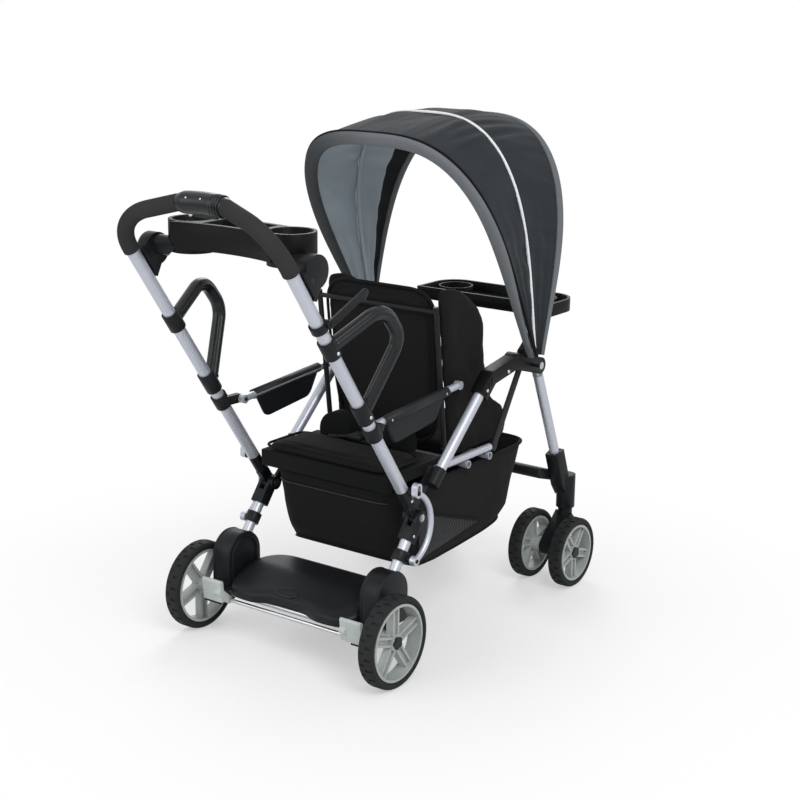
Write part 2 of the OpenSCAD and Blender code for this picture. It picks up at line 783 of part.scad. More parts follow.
// Side outline of the platform, down to a rear edge at y
module platform_outline(y) polygon([
  [platform_front, platform_low], [platform_front, platform_top - 2 * platform_edge],
  [platform_front + platform_edge, platform_top - platform_edge / 2],
  [platform_front + 4 * platform_edge, platform_top],
  [platform_front + 8 * platform_edge, platform_top - over],
  [y - 2 * platform_edge, platform_top - platform_fall],
  [y - platform_edge / 4, platform_top - 2 * platform_fall], [y, platform_low + platform_edge / 2],
  [y - platform_edge / 2, platform_low]]);
module platform() color(black) placed() {
  half = fender_in - clear_gap;
  difference() {
    union() {
      plate(-half, half) platform_outline(platform_rear);
      plate(-platform_lip_half, platform_lip_half) platform_outline(platform_lip);
      for (i = [0 : ridge_count - 1])
        translate([-ridge_half, platform_front + 3 * platform_edge + i * ridge_step,
          platform_top - platform_edge])
          cube([2 * ridge_half, platform_edge, platform_edge + ridge_h - i * ridge_fall]);
    }
    translate([-half + platform_wall, platform_front + platform_wall, platform_low - over])
      cube([2 * (half - platform_wall), platform_rear - platform_front - 2 * platform_wall,
        platform_edge + over]);
    translate([-platform_lip_half + platform_wall, platform_rear - 2 * platform_wall, platform_low - over])
      cube([2 * (platform_lip_half - platform_wall), platform_lip - platform_rear + platform_wall / 2,
        platform_edge / 2 + over]);
    translate([-half + platform_wall, platform_front + platform_wall, platform_low - over])
      cube([2 * (half - platform_wall), platform_rear - platform_front - 6 * platform_edge,
        platform_top - platform_low - 2 * platform_edge + over]);
  }
}

module lobed_cap(x0, x1, p) {
  pin(x0, x1, p, 2 * (axle_cap_r - axle_lobe_r / 2));
  for (k = [0 : spoke_count - 1])
    pin(x0, x1, p + (axle_cap_r - axle_lobe_r) * [cos(360 * k / spoke_count), sin(360 * k / spoke_count)],
      2 * axle_lobe_r);
}
module rear_axle() color(steel) placed() {
  end = rear_wheel_x + rear_hub_out + clear_gap;
  pin(-end, end, rear_axle, rear_axle_d);
  both() lobed_cap(end, end + axle_cap_t, rear_axle);
}

module brake_rod() color(steel) placed() pin(-fender_out, fender_out, brake_axis, brake_rod_d);

module brake_levers() color(pale_grey) placed() both() difference() {
  union() {
    plate(lever_in, fender_in - ear_gap) slot(brake_axis, lever_pad - [0, lever_drop / 2], lever_arm_w);
    plate(lever_in, lever_out) {
      bar(lever_pad, lever_pad - [lever_pad_t / 2, lever_drop], lever_pad_t - slot_slim);
      disc(lever_pad, lever_pad_t / 2);
    }
  }
  pin(lever_in - over, fender_in + over, brake_axis, brake_rod_d + 2 * seat_gap);
}

// Wheels, drawn about Z with the outer face up
module tyre_ring(d, w, grooves) {
  r = d / 2;
  difference() {
    rotate_extrude() translate([r - tyre_depth + seat_gap, 0]) {
      translate([0, -w / 2 + tyre_round / 2]) square([tyre_depth - seat_gap - tyre_round, w - tyre_round]);
      translate([0, -w / 2 + tyre_round]) square([tyre_depth - seat_gap, w - 2 * tyre_round]);
      for (s = [-1, 1]) translate([tyre_depth - seat_gap - tyre_round, s * (w / 2 - tyre_round)])
        circle(tyre_round);
    }
    for (k = [0 : grooves - 1]) for (s = [-1, 1])
      rotate(360 * (k + s / 4) / grooves)
        translate([r - tread_groove_d, -tread_groove_w / 2, s > 0 ? over : -w - over])
          cube([tyre_round, tread_groove_w, w]);
  }
}
module rim_disc(d, w, hub_in, hub_out, bore) {
  r = d / 2 - tyre_depth;
  difference() {
    union() {
      rotate_extrude() {
        translate([r - rim_lip, -w / 2 + rim_inset]) square([rim_lip, w - 2 * rim_inset]);
        translate([hub_barrel_r - over, -spoke_web / 2]) square([rim_lip, spoke_web]);
      }
      translate([0, 0, -hub_in]) cylinder(h = hub_in + hub_out, r = hub_barrel_r);
      for (k = [0 : spoke_count - 1]) rotate(360 * k / spoke_count) {
        for (s = [-1, 1]) translate([0, s * spoke_gap - spoke_rib_w / 2, -spoke_depth / 2])
          cube([r - rim_lip / 2, spoke_rib_w, spoke_depth]);
        translate([0, -spoke_gap, -spoke_web / 2]) cube([r - rim_lip / 2, 2 * spoke_gap, spoke_web]);
      }
    }
    translate([0, 0, -hub_in - over]) cylinder(h = hub_in + hub_out + 2 * over, d = bore);
  }
}
module on_axle(x, axle, s) translate([x, axle[0], axle[1]]) rotate([0, s * 90, 0]) children();

module rear_tyre(s) color(rubber) placed() on_axle(s * rear_wheel_x, rear_axle, s)
  tyre_ring(rear_wheel_d, rear_tyre_w, tread_count);
module rear_rim(s) color(pale_grey) placed() on_axle(s * rear_wheel_x, rear_axle, s)
  rim_disc(rear_wheel_d, rear_tyre_w, rear_hub_in, rear_hub_out, rear_axle_d + 2 * seat_gap);
module rear_tyre_left() rear_tyre(1);
module rear_tyre_right() rear_tyre(-1);
module rear_rim_left() rear_rim(1);
module rear_rim_right() rear_rim(-1);

// Front frame
module front_legs() color(silver) placed() both() difference() {
  union() {
    plate(tongue_in, tongue_out) {
      disc(hub_pivot, tongue_r);
      bar(hub_pivot, on_front(front_tube_from), front_leg_d);
    }
    rod(frame_half, on_front(front_tube_from), on_front(2 * front_tube_from), front_leg_d);
    pipe(frame_half, on_front(2 * front_tube_from), on_front(front_tube_to), front_leg_d);
  }
  pin(tongue_in - over, tongue_out + over, hub_pivot, fold_pin_d + 2 * seat_gap);
}

module leg_forks() color(black) placed() both() difference() {
  union() {
    plate(frame_half - fork_socket_w / 2, frame_half + fork_socket_w / 2) {
      bar(on_front(fork_socket_from), fork_knee, fork_socket_w);
      disc(fork_knee, fork_socket_w / 2);
      bar(fork_knee, [stem_y, (fork_low + fork_top) / 2], fork_socket_w);
    }
    translate([caster_x, stem_y, fork_low]) cylinder(h = fork_top - fork_low, r = fork_r);
  }
  rod(frame_half, on_front(fork_socket_from - over), on_front(front_tube_to + clear_gap),
    front_leg_d + 2 * seat_gap);
  translate([caster_x, stem_y, fork_low - over])
    cylinder(h = fork_top - fork_low - fork_guide + over, r = fork_r - fork_wall);
  translate([caster_x, stem_y, fork_low]) cylinder(h = fork_top, d = stem_d + 2 * seat_gap);
}

module front_crossbar() color(black) placed()
  plate(-crossbar_half, crossbar_half) slot(crossbar_front, crossbar_rear, crossbar_t);

// Casters, drawn for the left side and mirrored
module stem() color(steel) placed() {
  foot = yoke_mid_z - yoke_r - stem_head_t;
  translate([caster_x, stem_y, foot]) cylinder(h = fork_top - susp_travel - foot, d = stem_d);
  translate([caster_x, stem_y, foot - clear_gap]) cylinder(h = stem_head_t, r = stem_head_r);
  translate([caster_x, stem_y, stem_flange_z])
    cylinder(h = stem_flange_t, r = fork_r - fork_wall - clear_gap);
}
module stem_left() stem();
module stem_right() mirror([1, 0, 0]) stem();

module spring() color(steel) placed() translate([caster_x, stem_y, stem_flange_z + stem_flange_t]) {
  low = spring_wire / 2 + clear_gap;
  high = fork_top - fork_guide - stem_flange_z - stem_flange_t - low;
  n = spring_turn_count * spring_step_count;
  path = [for (i = [0 : n]) let (a = 360 * i / spring_step_count)
    [spring_r * cos(a), spring_r * sin(a), low + (high - low) * i / n]];
  points = [for (i = [0 : n]) let (a = 360 * i / spring_step_count, out = [cos(a), sin(a), 0])
    for (k = [0 : spring_side_count - 1])
      let (g = 360 * k / spring_side_count)
      path[i] + spring_wire / 2 * (cos(g) * out + sin(g) * [0, 0, 1])];
  skin = [for (i = [0 : n - 1]) for (k = [0 : spring_side_count - 1])
    let (a = i * spring_side_count + k, b = i * spring_side_count + (k + 1) % spring_side_count)
    each [[a, b, b + spring_side_count], [a, b + spring_side_count, a + spring_side_count]]];
  start = [for (k = [1 : spring_side_count - 2]) [0, k + 1, k]];
  last = n * spring_side_count;
  end = [for (k = [1 : spring_side_count - 2]) [last, last + k, last + k + 1]];
  polyhedron(points, concat(skin, start, end));
}
module spring_left() spring();
module spring_right() mirror([1, 0, 0]) spring();

module yoke() color(black) placed() difference() {
  union() {
    translate([caster_x, stem_y, yoke_mid_z])
      cylinder(h = stem_flange_z - clear_gap - yoke_mid_z, r = fork_r - fork_wall - over);
    plate(caster_x - yoke_half, caster_x + yoke_half) {
      bar(yoke_nose, front_axle, 2 * yoke_r - over);
      disc(front_axle, yoke_r - over / 2);
    }
  }
  translate([caster_x, stem_y, 0]) cylinder(h = yoke_mid_z - yoke_r, r = stem_head_r + ear_gap);
  translate([caster_x, stem_y, -over]) cylinder(h = front_wheel_d * 2, d = stem_d + 2 * seat_gap);
  pin(caster_x - yoke_half - over, caster_x + yoke_half + over, front_axle, front_axle_d + 2 * seat_gap);
}
module yoke_left() yoke();
module yoke_right() mirror([1, 0, 0]) yoke();

module front_axle_bar() color(steel) placed() {
  half = twin_spacing / 2 + front_hub_out + clear_gap;
  pin(caster_x - half, caster_x + half, front_axle, front_axle_d);
  lobed_cap(caster_x + half, caster_x + half + axle_cap_t, front_axle);
  lobed_cap(caster_x - half - axle_cap_t, caster_x - half, front_axle);
}
module front_axle_left() front_axle_bar();
module front_axle_right() mirror([1, 0, 0]) front_axle_bar();
module front_tyres() color(rubber) placed() for (s = [-1, 1])
  on_axle(caster_x + s * twin_spacing / 2, front_axle, s)
    tyre_ring(front_wheel_d, front_tyre_w, tread_count);
module front_tyres_left() front_tyres();
module front_tyres_right() mirror([1, 0, 0]) front_tyres();
module front_rims() color(pale_grey) placed() for (s = [-1, 1])
  on_axle(caster_x + s * twin_spacing / 2, front_axle, s)
    rim_disc(front_wheel_d, front_tyre_w, front_hub_in, front_hub_out, front_axle_d + 2 * seat_gap);
module front_rims_left() front_rims();
module front_rims_right() mirror([1, 0, 0]) front_rims();

// Push handle
module tube_plugs() color(black) placed() both() difference() {
  union() {
    plate(tongue_in, tongue_out) {
      disc(knuckle, tongue_r);
      bar(knuckle, on_handle(plug_from + over), handle_tube_d);
    }
    rod(frame_half, on_handle(plug_from), on_handle(handle_from - seat_gap), handle_tube_d);
    rod(frame_half, on_handle(plug_from), on_handle(handle_from + spigot_len),
      handle_tube_d - 2 * tube_wall - 2 * seat_gap);
    pin(frame_half, link_x - link_d / 2 - ear_gap, link_high, link_boss_d);
    pin(frame_half, link_pin_out, link_high, link_pin_d);
  }
  pin(tongue_in - over, tongue_out + over, knuckle, fold_pin_d + 2 * seat_gap);
}

module handle_tubes() color(silver) placed() both()
  pipe(frame_half, on_handle(handle_from), on_handle(handle_to), handle_tube_d);

// Leg, bend and bar of one foam grip; the leg runs up local Z and the bar turns in towards local +X
module grip_shape(d) {
  turn = grip_bend_r * tan(grip_bend_angle / 2);
  corner = on_handle(grip_corner);
  translate([-frame_half, corner[0], corner[1]]) rotate([-handle_lean, 0, 0]) rotate(-grip_turn_angle) {
    translate([0, 0, grip_from - grip_corner]) cylinder(h = grip_corner - turn - grip_from, d = d);
    translate([grip_bend_r, 0, -turn]) rotate([90, 0, 0]) rotate(180 - grip_bend_angle - bend_lap_angle)
      rotate_extrude(angle = grip_bend_angle + 2 * bend_lap_angle)
        translate([grip_bend_r, 0]) circle(d = d - bend_slim);
    rotate([0, grip_bend_angle, 0]) translate([0, 0, turn]) cylinder(h = grip_bar - turn, d = d);
  }
}
module handle_grips() color(charcoal) placed() both() difference() {
  grip_shape(grip_d);
  rod(-frame_half, on_handle(grip_from - over), on_handle(handle_to + clear_gap),
    handle_tube_d + 2 * seat_gap);
}

module housing_frame() translate([0, bar_end[1], bar_end[2]]) rotate([-handle_lean, 0, 0]) children();
module fold_housing() color(black) placed() difference() {
  union() {
    housing_frame() rotate([0, 90, 0]) cylinder(h = 2 * housing_half, d = housing_d, center = true);
    both() translate(bar_end) rotate([-handle_lean, 0, 0]) rotate(-grip_turn_angle)
      rotate([0, grip_bend_angle, 0]) cylinder(h = grip_bar_end_x - housing_half / 2, d = collar_d);
  }
  housing_frame() {
    translate([-trigger_half - clear_gap, -trigger_w / 2 - clear_gap, -housing_d])
      cube([2 * (trigger_half + clear_gap), trigger_w + 2 * clear_gap,
        housing_d - trigger_drop + trigger_h + press_room]);
    translate([button_x, 0, -housing_d])
      cylinder(h = housing_d - button_drop + button_h + press_room, d = button_d + 2 * clear_gap);
  }
}
module fold_trigger() color(black) placed() housing_frame()
  translate([-trigger_half, -trigger_w / 2, -trigger_drop]) cube([2 * trigger_half, trigger_w, trigger_h]);
module lock_button() color(pale_grey) placed() housing_frame() translate([button_x, 0, -button_drop])
  cylinder(h = button_h, d = button_d);

// Parent tray
module tray_plan(w) {
  intersection() {
    translate([0, cup_y + tray_bow_r]) difference() {
      circle(tray_bow_r + tray_half_depth - w, $fn = tray_facet_count);
      circle(tray_bow_r - tray_half_depth + w, $fn = tray_facet_count);
    }
    translate([-cup_x, cup_y - 2 * tray_half_depth]) square([2 * cup_x, 4 * tray_half_depth]);
  }
}
module parent_tray() color(black) placed() difference() {
  union() {
    translate([0, 0, tray_floor_z]) linear_extrude(tray_rim_z - tray_floor_z) tray_plan(tray_step);
    translate([0, 0, tray_rim_z - tray_rim_h]) linear_extrude(tray_rim_h) tray_plan(0);
    for (s = [-1, 1]) translate([s * cup_x, cup_y, 0]) {
      translate([0, 0, cup_floor_z]) cylinder(h = tray_rim_z - cup_floor_z, d = cup_d + 2 * cup_wall);
      translate([0, 0, tray_rim_z - tray_rim_h]) cylinder(h = tray_rim_h, d = cup_rim_d);
    }
  }
  for (s = [-1, 1]) translate([s * cup_x, cup_y, cup_floor_z + cup_wall])
    cylinder(h = tray_rim_z - cup_floor_z, d = cup_d);
  translate([0, 0, tray_rim_z - tray_well_depth]) linear_extrude(tray_well_depth + over) intersection() {
    tray_plan(tray_well_inset);
    translate([-tray_well_half, cup_y - 2 * tray_half_depth])
      square([2 * tray_well_half, 4 * tray_half_depth]);
  }
}

// Arms that carry the tray, each with a plate that seats on the front of a handle tube
module tray_arms() color(black) placed() both() difference() {
  union() {
    plate(arm_plate_out - arm_plate_t, arm_plate_out) {
      disc(on_handle(arm_plate_mid[0], arm_plate_mid[1]), arm_plate_r);
      polygon([for (p = [arm_plate_low, arm_plate_toe, arm_plate_knee, arm_plate_mid, arm_plate_top])
        on_handle(p[0], p[1])]);
    }
    plate(cup_x, arm_plate_out) disc(on_handle(arm_bar_mid[0], arm_bar_mid[1]), arm_bar_r);
  }
  translate([cup_x, cup_y, 0]) cylinder(h = tray_rim_z, d = cup_rim_d + 2 * seat_gap);
  rod(frame_half, on_handle(handle_from), on_handle(handle_to + over), handle_tube_d + 2 * seat_gap);
  rod(frame_half, on_handle(grip_from - over), on_handle(handle_to + 2 * grip_d), grip_d + 2 * clear_gap);
}

// Grab handles: a rounded triangle that splays outwards, drawn as [distance ahead, distance up the tube]
function grab_point(u, s) = let (p = on_handle(s, u)) [frame_half + grab_slope * u, p[0], p[1]];
function arc_at(a, b, c, r, t) = let (ua = unit(a - b), uc = unit(c - b), half = acos(ua * uc) / 2,
  m = b + unit(ua + uc) * r / sin(half), start = b + ua * r / tan(half), sweep = 180 - 2 * half,
  e = start - m, side = sign(ua[1] * uc[0] - ua[0] * uc[1]), g = side * sweep * t)
  m + [e[0] * cos(g) - e[1] * sin(g), e[0] * sin(g) + e[1] * cos(g)];
grab_flat = concat([grab_high],
  [for (i = [0 : grab_step_count]) arc_at(grab_high, grab_top, grab_tip, grab_turn_r, i / grab_step_count)],
  [for (i = [0 : grab_step_count]) arc_at(grab_top, grab_tip, grab_low, grab_turn_r, i / grab_step_count)],
  [grab_low]);
module grab_handles() color(black) placed() both()
  swept([for (p = grab_flat) grab_point(p[0], p[1])],
    unit([1, -grab_slope * handle_fwd[0], -grab_slope * handle_fwd[1]]), grab_d / 2, grab_side_count);

module clamp(s0, s1, u) difference() {
  union() {
    rod(frame_half, on_handle(s0), on_handle(s1), handle_tube_d + 2 * clamp_wall);
    rod(frame_half, on_handle((s0 + s1) / 2, handle_tube_d / 4), on_handle((s0 + s1) / 2, u), grab_d);
  }
  rod(frame_half, on_handle(s0 - over), on_handle(s1 + over), handle_tube_d + 2 * seat_gap);
}
module grab_clamps() color(black) placed() {
  both() {
    clamp(clamp_low_from, clamp_low_to, grab_start - over);
    clamp(clamp_high_from, clamp_high_to, grab_start - over);
  }
  mirror([1, 0, 0]) difference() {
    union() {
      rod(frame_half, on_handle(latch_pivot_s - latch_w / 2), on_handle(latch_pivot_s + latch_w / 2),
        handle_tube_d + 2 * clamp_wall);
      pin(frame_half + handle_tube_d / 4, latch_in - clear_gap, latch_root, latch_w);
      pin(latch_in - latch_t, latch_in + latch_t + pin_head_t, latch_root, latch_pin_d);
    }
    rod(frame_half, on_handle(handle_from), on_handle(handle_to), handle_tube_d + 2 * seat_gap);
  }
}

module storage_latch() color(black) placed() mirror([1, 0, 0]) difference() {
  plate(latch_in, latch_in + latch_t) {
    slot(latch_root, latch_tip, latch_w);
    slot(latch_tip, latch_tip + [latch_w / 2, -latch_hook], latch_w);
  }
  pin(latch_in - over, latch_in + latch_t + over, latch_root, latch_pin_d + 2 * seat_gap);
}

// Arm links
module arm_brackets() color(black) placed() both() difference() {
  union() {
    rod(frame_half, on_handle(arm_clamp_from), on_handle(arm_clamp_to), handle_tube_d + 2 * clamp_wall);
    plate(arm_x + arm_link_d / 2 + ear_gap, frame_half - handle_tube_d / 4) {
      bar(on_handle((arm_clamp_from + arm_clamp_to) / 2), arm_pivot, arm_eye_d);
      disc(arm_pivot, arm_eye_d / 2);
    }
    pin(arm_x - arm_eye_half - pin_head_t, arm_x + arm_link_d / 2 + ear_t, arm_pivot, arm_pin_d);
  }
  rod(frame_half, on_handle(handle_from), on_handle(clamp_low_from), handle_tube_d + 2 * seat_gap);
}
module arm_links() color(silver) placed() both() difference() {
  union() {
    pin(arm_x - arm_eye_half, arm_x + arm_eye_half, arm_pivot, arm_eye_d);
    pin(arm_x - arm_eye_half, arm_x + arm_eye_half, arm_tip, arm_eye_d);
    rod(arm_x, arm_pivot + arm_eye_d / 4 * arm_dir, arm_tip - arm_eye_d / 4 * arm_dir, arm_link_d - over);
  }
  pin(arm_x - arm_eye_d, arm_x + arm_eye_d, arm_pivot, arm_pin_d + 2 * seat_gap);
}
module arm_flaps() color(black) placed() both() plate(arm_x - flap_t / 2, arm_x + flap_t / 2) {
  slope = (arm_tip[1] - arm_pivot[1]) / (arm_tip[0] - arm_pivot[0]);
  hang = arm_link_d / 2 + clear_gap;
  polygon([[flap_front, arm_pivot[1] + slope * (flap_front - arm_pivot[0]) - hang],
    [flap_front + flap_taper, arm_pivot[1] - flap_drop], [flap_rear - flap_taper, arm_pivot[1] - flap_drop],
    [flap_rear, arm_pivot[1] + slope * (flap_rear - arm_pivot[0]) - hang]]);
}

// Fold links: a bowed link on each side, turning on the rear leg and slotted on the handle's pin
module fold_links() color(silver) placed() both() difference() {
  union() {
    translate([link_x, link_centre[0], link_centre[1]]) rotate([0, 90, 0]) rotate(-90 - link_sweep)
      rotate_extrude(angle = 2 * link_sweep) translate([link_bow_r, 0]) circle(d = link_d);
    pin(link_x - link_d / 2, link_x + link_d / 2, link_low, link_eye_d);
    plate(link_x - link_d / 2, link_x + link_d / 2) slot(link_high, link_slot_end, link_eye_d);
  }
  pin(link_x - link_d, link_x + link_d, link_low, link_pin_d + 2 * seat_gap);
  plate(link_x - link_d, link_x + link_d) slot(link_high, link_slot_end, link_pin_d + 4 * ear_gap);
}

// Canopy
function bow_point(m, out, t) = let (c = cos(t), rise = pow(abs(sin(t)), m[3]), r = (m[2] + out) * rise,
    half = m[1] + out + m[4] * pow(sin(90 * rise), 2))
  [-half * sign(c) * pow(abs(c), m[3]), canopy_pivot[0] - r * sin(m[0]), canopy_pivot[1] + r * cos(m[0])];
function foot_turn(m, out, foot) = asin(pow(foot / (m[2] + out), 1 / m[3]));
function bow_turn(i, n, foot) = foot + (180 - 2 * foot) * i / n;
module bow(m) {
  a = m[0];
  half = m[1];
  foot = foot_turn(m, 0, bow_foot);
  swept([for (i = [0 : bow_ring_count]) bow_point(m, 0, bow_turn(i, bow_ring_count, foot))],
    [0, cos(a), sin(a)], bow_d / 2, bow_side_count);
  both() difference() {
    plate(half - bow_disc_t / 2, half + bow_disc_t / 2)
      slot(canopy_pivot, canopy_pivot + 2 * bow_disc_r * [-sin(a), cos(a)], bow_disc_r);
    pin(half - bow_disc_t, half + bow_disc_t, canopy_pivot, canopy_pin_d + 2 * seat_gap);
  }
}
module canopy_bow_rear() color(charcoal) placed() bow(rear_bow);
module canopy_bow_mid() color(charcoal) placed() bow(mid_bow);
module canopy_bow_front() color(charcoal) placed() bow(front_bow);

// Cloth between two bows
module canopy_panel(p, q) {
  row = panel_ring_count + 1;
  layer = row * (panel_strip_count + 1);
  points = [for (lift = [panel_lift, panel_lift + canopy_cloth]) for (j = [0 : panel_strip_count])
    for (i = [0 : panel_ring_count]) let (m = p + (q - p) * j / panel_strip_count, out = bow_d / 2 + lift)
      bow_point(m, out, bow_turn(i, panel_ring_count, foot_turn(m, out, panel_foot)))];
  skin = [for (j = [0 : panel_strip_count - 1]) for (i = [0 : panel_ring_count - 1])
    let (a = j * row + i, b = a + layer)
    each [[a, a + 1, a + row + 1], [a, a + row + 1, a + row],
      [b, b + row + 1, b + 1], [b, b + row, b + row + 1]]];
  rim = concat([for (i = [0 : panel_ring_count - 1]) i],
    [for (j = [0 : panel_strip_count - 1]) j * row + panel_ring_count],
    [for (i = [panel_ring_count : -1 : 1]) panel_strip_count * row + i],
    [for (j = [panel_strip_count : -1 : 1]) j * row]);
  wall = [for (k = [0 : len(rim) - 1]) let (a = rim[k], b = rim[(k + 1) % len(rim)])
    each [[a, b + layer, b], [a, a + layer, b + layer]]];
  polyhedron(points, concat(skin, wall));
}
module canopy_panel_rear() color(charcoal) placed()
  canopy_panel(rear_bow, mid_bow - [panel_angle_gap, 0, 0, 0, 0]);
module canopy_panel_front() color(charcoal) placed() canopy_panel(mid_bow, front_bow);

// Child tray
module child_plan(w) {
  r = child_tray_round;
  translate([-child_tray_half + w, child_tray_front + r])
    square([2 * (child_tray_half - w), child_tray_rear - child_tray_front - r - w]);
  translate([-child_tray_half + r, child_tray_front + w]) square([2 * (child_tray_half - r), r]);
  for (s = [-1, 1]) translate([s * (child_tray_half - r), child_tray_front + r]) circle(r - w);
}
module front_tray() color(black) placed() {
  difference() {
    translate([0, 0, child_tray_z]) linear_extrude(child_tray_t) child_plan(0);
    translate([0, 0, child_tray_z + 2 * child_tray_wall]) linear_extrude(child_tray_t) difference() {
      child_plan(2 * child_tray_wall);
      for (s = [-1, 1]) translate([s * child_cup_x, child_cup_y]) circle(child_cup_r + child_tray_wall);
    }
    for (s = [-1, 1]) translate([s * child_cup_x, child_cup_y, child_tray_z + child_tray_wall])
      cylinder(h = child_tray_t, r = child_cup_r);
  }
  both() plate(leg_ear_in - clear_gap - child_arm_t, leg_ear_in - clear_gap)
    slot(child_arm_foot, [child_tray_rear, child_tray_z + child_arm_w / 4], child_arm_w);
}

side_tubes();
side_brackets();
fold_pins();
hubs();
seat_bars();
seat_hangers();
cross_tubes();
bench_base();
bench_pad();
front_seat();
basket();
backrest_frame();
backrest_panel();
leg_caps();
rear_legs();
fenders();
platform();
rear_axle();
brake_levers();
brake_rod();
rear_tyre_left();
rear_rim_left();
rear_tyre_right();
rear_rim_right();
front_legs();
leg_forks();
front_crossbar();
stem_left();
stem_right();
spring_left();
spring_right();
yoke_left();
yoke_right();
front_axle_left();
front_axle_right();
front_tyres_left();
front_tyres_right();
front_rims_left();
front_rims_right();
tube_plugs();
handle_tubes();
handle_grips();
fold_housing();
parent_tray();
tray_arms();
grab_handles();
grab_clamps();
arm_brackets();
fold_trigger();
lock_button();
storage_latch();
arm_links();
arm_flaps();
fold_links();
canopy_bow_rear();
canopy_bow_mid();
canopy_bow_front();
canopy_panel_rear();
canopy_panel_front();
front_tray();
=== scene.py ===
"""Looks for a tandem stroller with a front seat, a rear bench and a standing platform."""
import json
import logging
import math
from contextlib import contextmanager
from dataclasses import dataclass, field
from enum import Enum
from typing import Callable, Iterable, Iterator, Sequence

import bmesh
import bpy
from mathutils import Matrix, Vector, noise
from mathutils.kdtree import KDTree

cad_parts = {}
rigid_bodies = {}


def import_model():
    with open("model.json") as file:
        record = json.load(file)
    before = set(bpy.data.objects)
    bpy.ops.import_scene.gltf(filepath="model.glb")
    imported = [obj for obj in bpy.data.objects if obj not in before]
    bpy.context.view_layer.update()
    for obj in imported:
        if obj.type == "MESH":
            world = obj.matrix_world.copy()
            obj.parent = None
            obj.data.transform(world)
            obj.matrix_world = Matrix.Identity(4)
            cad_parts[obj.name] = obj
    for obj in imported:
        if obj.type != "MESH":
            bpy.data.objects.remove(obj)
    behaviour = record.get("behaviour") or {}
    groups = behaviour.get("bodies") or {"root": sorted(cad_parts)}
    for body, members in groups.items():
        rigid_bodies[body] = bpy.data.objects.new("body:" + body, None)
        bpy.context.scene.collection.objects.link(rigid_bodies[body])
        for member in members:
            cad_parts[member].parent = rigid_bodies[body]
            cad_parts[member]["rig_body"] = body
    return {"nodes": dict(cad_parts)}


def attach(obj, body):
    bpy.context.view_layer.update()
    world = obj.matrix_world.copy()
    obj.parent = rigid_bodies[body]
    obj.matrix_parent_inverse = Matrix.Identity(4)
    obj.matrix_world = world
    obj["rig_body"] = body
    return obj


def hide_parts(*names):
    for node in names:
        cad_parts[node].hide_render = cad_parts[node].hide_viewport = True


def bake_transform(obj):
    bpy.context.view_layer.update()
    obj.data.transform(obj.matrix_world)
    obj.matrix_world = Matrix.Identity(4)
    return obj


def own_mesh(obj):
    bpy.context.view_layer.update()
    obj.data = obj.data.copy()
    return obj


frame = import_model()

LOG = logging.getLogger("stroller")
MM = 0.001
DATUM_MM = 141.3
Flat = tuple[float, float]
Colour = tuple[int, int, int]
Object = bpy.types.Object
SIDES: tuple[tuple[int, str], ...] = ((-1, "right"), (1, "left"))
ACROSS = Vector((1, 0, 0))
UP = Vector((0, 0, 1))
WHITE = (1, 1, 1, 1)
BEVEL_ANGLE = math.radians(35)
SHARP_ANGLE = math.radians(50)
CUSHION_POINTS = 72
CUSHION_RINGS = 10
WELT_SIDES = 10
STITCH_PITCH = 0.005
STITCH_RADIUS = 0.0006
STITCH_HALF = 0.0016


def at(x: float, y: float, z: float) -> Vector:
    """Turn millimetres measured from the construction datum into metres in the frame.

    Args:
        x: distance across, positive to the stroller's left.
        y: distance behind the datum line.
        z: height above the floor.

    Returns:
        The point in the frame.
    """
    return Vector((x, y - DATUM_MM, z)) * MM


def linear(colour: Colour, share: float = 1.0) -> tuple[float, float, float, float]:
    """Turn a colour as seen on a screen, 0 to 255, into the linear colour a shader takes.

    Args:
        colour: red, green and blue as seen.
        share: a factor on the linear result, to darken or lighten it.

    Returns:
        Linear red, green, blue and an alpha of one.
    """
    parts = [c / 255 for c in colour]
    low = [p / 12.92 if p <= 0.04045 else ((p + 0.055) / 1.055) ** 2.4 for p in parts]
    return (low[0] * share, low[1] * share, low[2] * share, 1.0)


def smooth(t: float) -> float:
    """Ease from 0 to 1 with level ends."""
    t = min(max(t, 0.0), 1.0)
    return t * t * (3 - 2 * t)


def circle(count: int) -> list[float]:
    """Return even angles round a full turn."""
    return [2 * math.pi * k / count for k in range(count)]


def lengths(points: Sequence[Vector]) -> list[float]:
    """Measure along a path.

    Args:
        points: the path's points.

    Returns:
        The path's length up to each point.
    """
    run = [0.0]
    for p, q in zip(points, points[1:]):
        run.append(run[-1] + (q - p).length)
    return run


class Socket:
    """One output in a material's tree. Python's operators on it add Math nodes."""

    def __init__(self, shader: "Shader", link: bpy.types.NodeSocket | None) -> None:
        """Keep the tree and the socket."""
        self.shader = shader
        self.link = link

    def join(self, operation: str, other: "Socket | float") -> "Socket":
        """Add a Math node on self and other, and return its result."""
        return self.shader.node("ShaderNodeMath", {"operation": operation}, {0: self, 1: other})

    def __add__(self, other: "Socket | float") -> "Socket":
        """Return self + other."""
        return self.join("ADD", other)

    def __radd__(self, other: float) -> "Socket":
        """Return other + self."""
        return self.join("ADD", other)

    def __mul__(self, other: "Socket | float") -> "Socket":
        """Return self * other."""
        return self.join("MULTIPLY", other)

    def __gt__(self, other: "Socket | float") -> "Socket":
        """Return 1 where self is greater than other."""
        return self.join("GREATER_THAN", other)


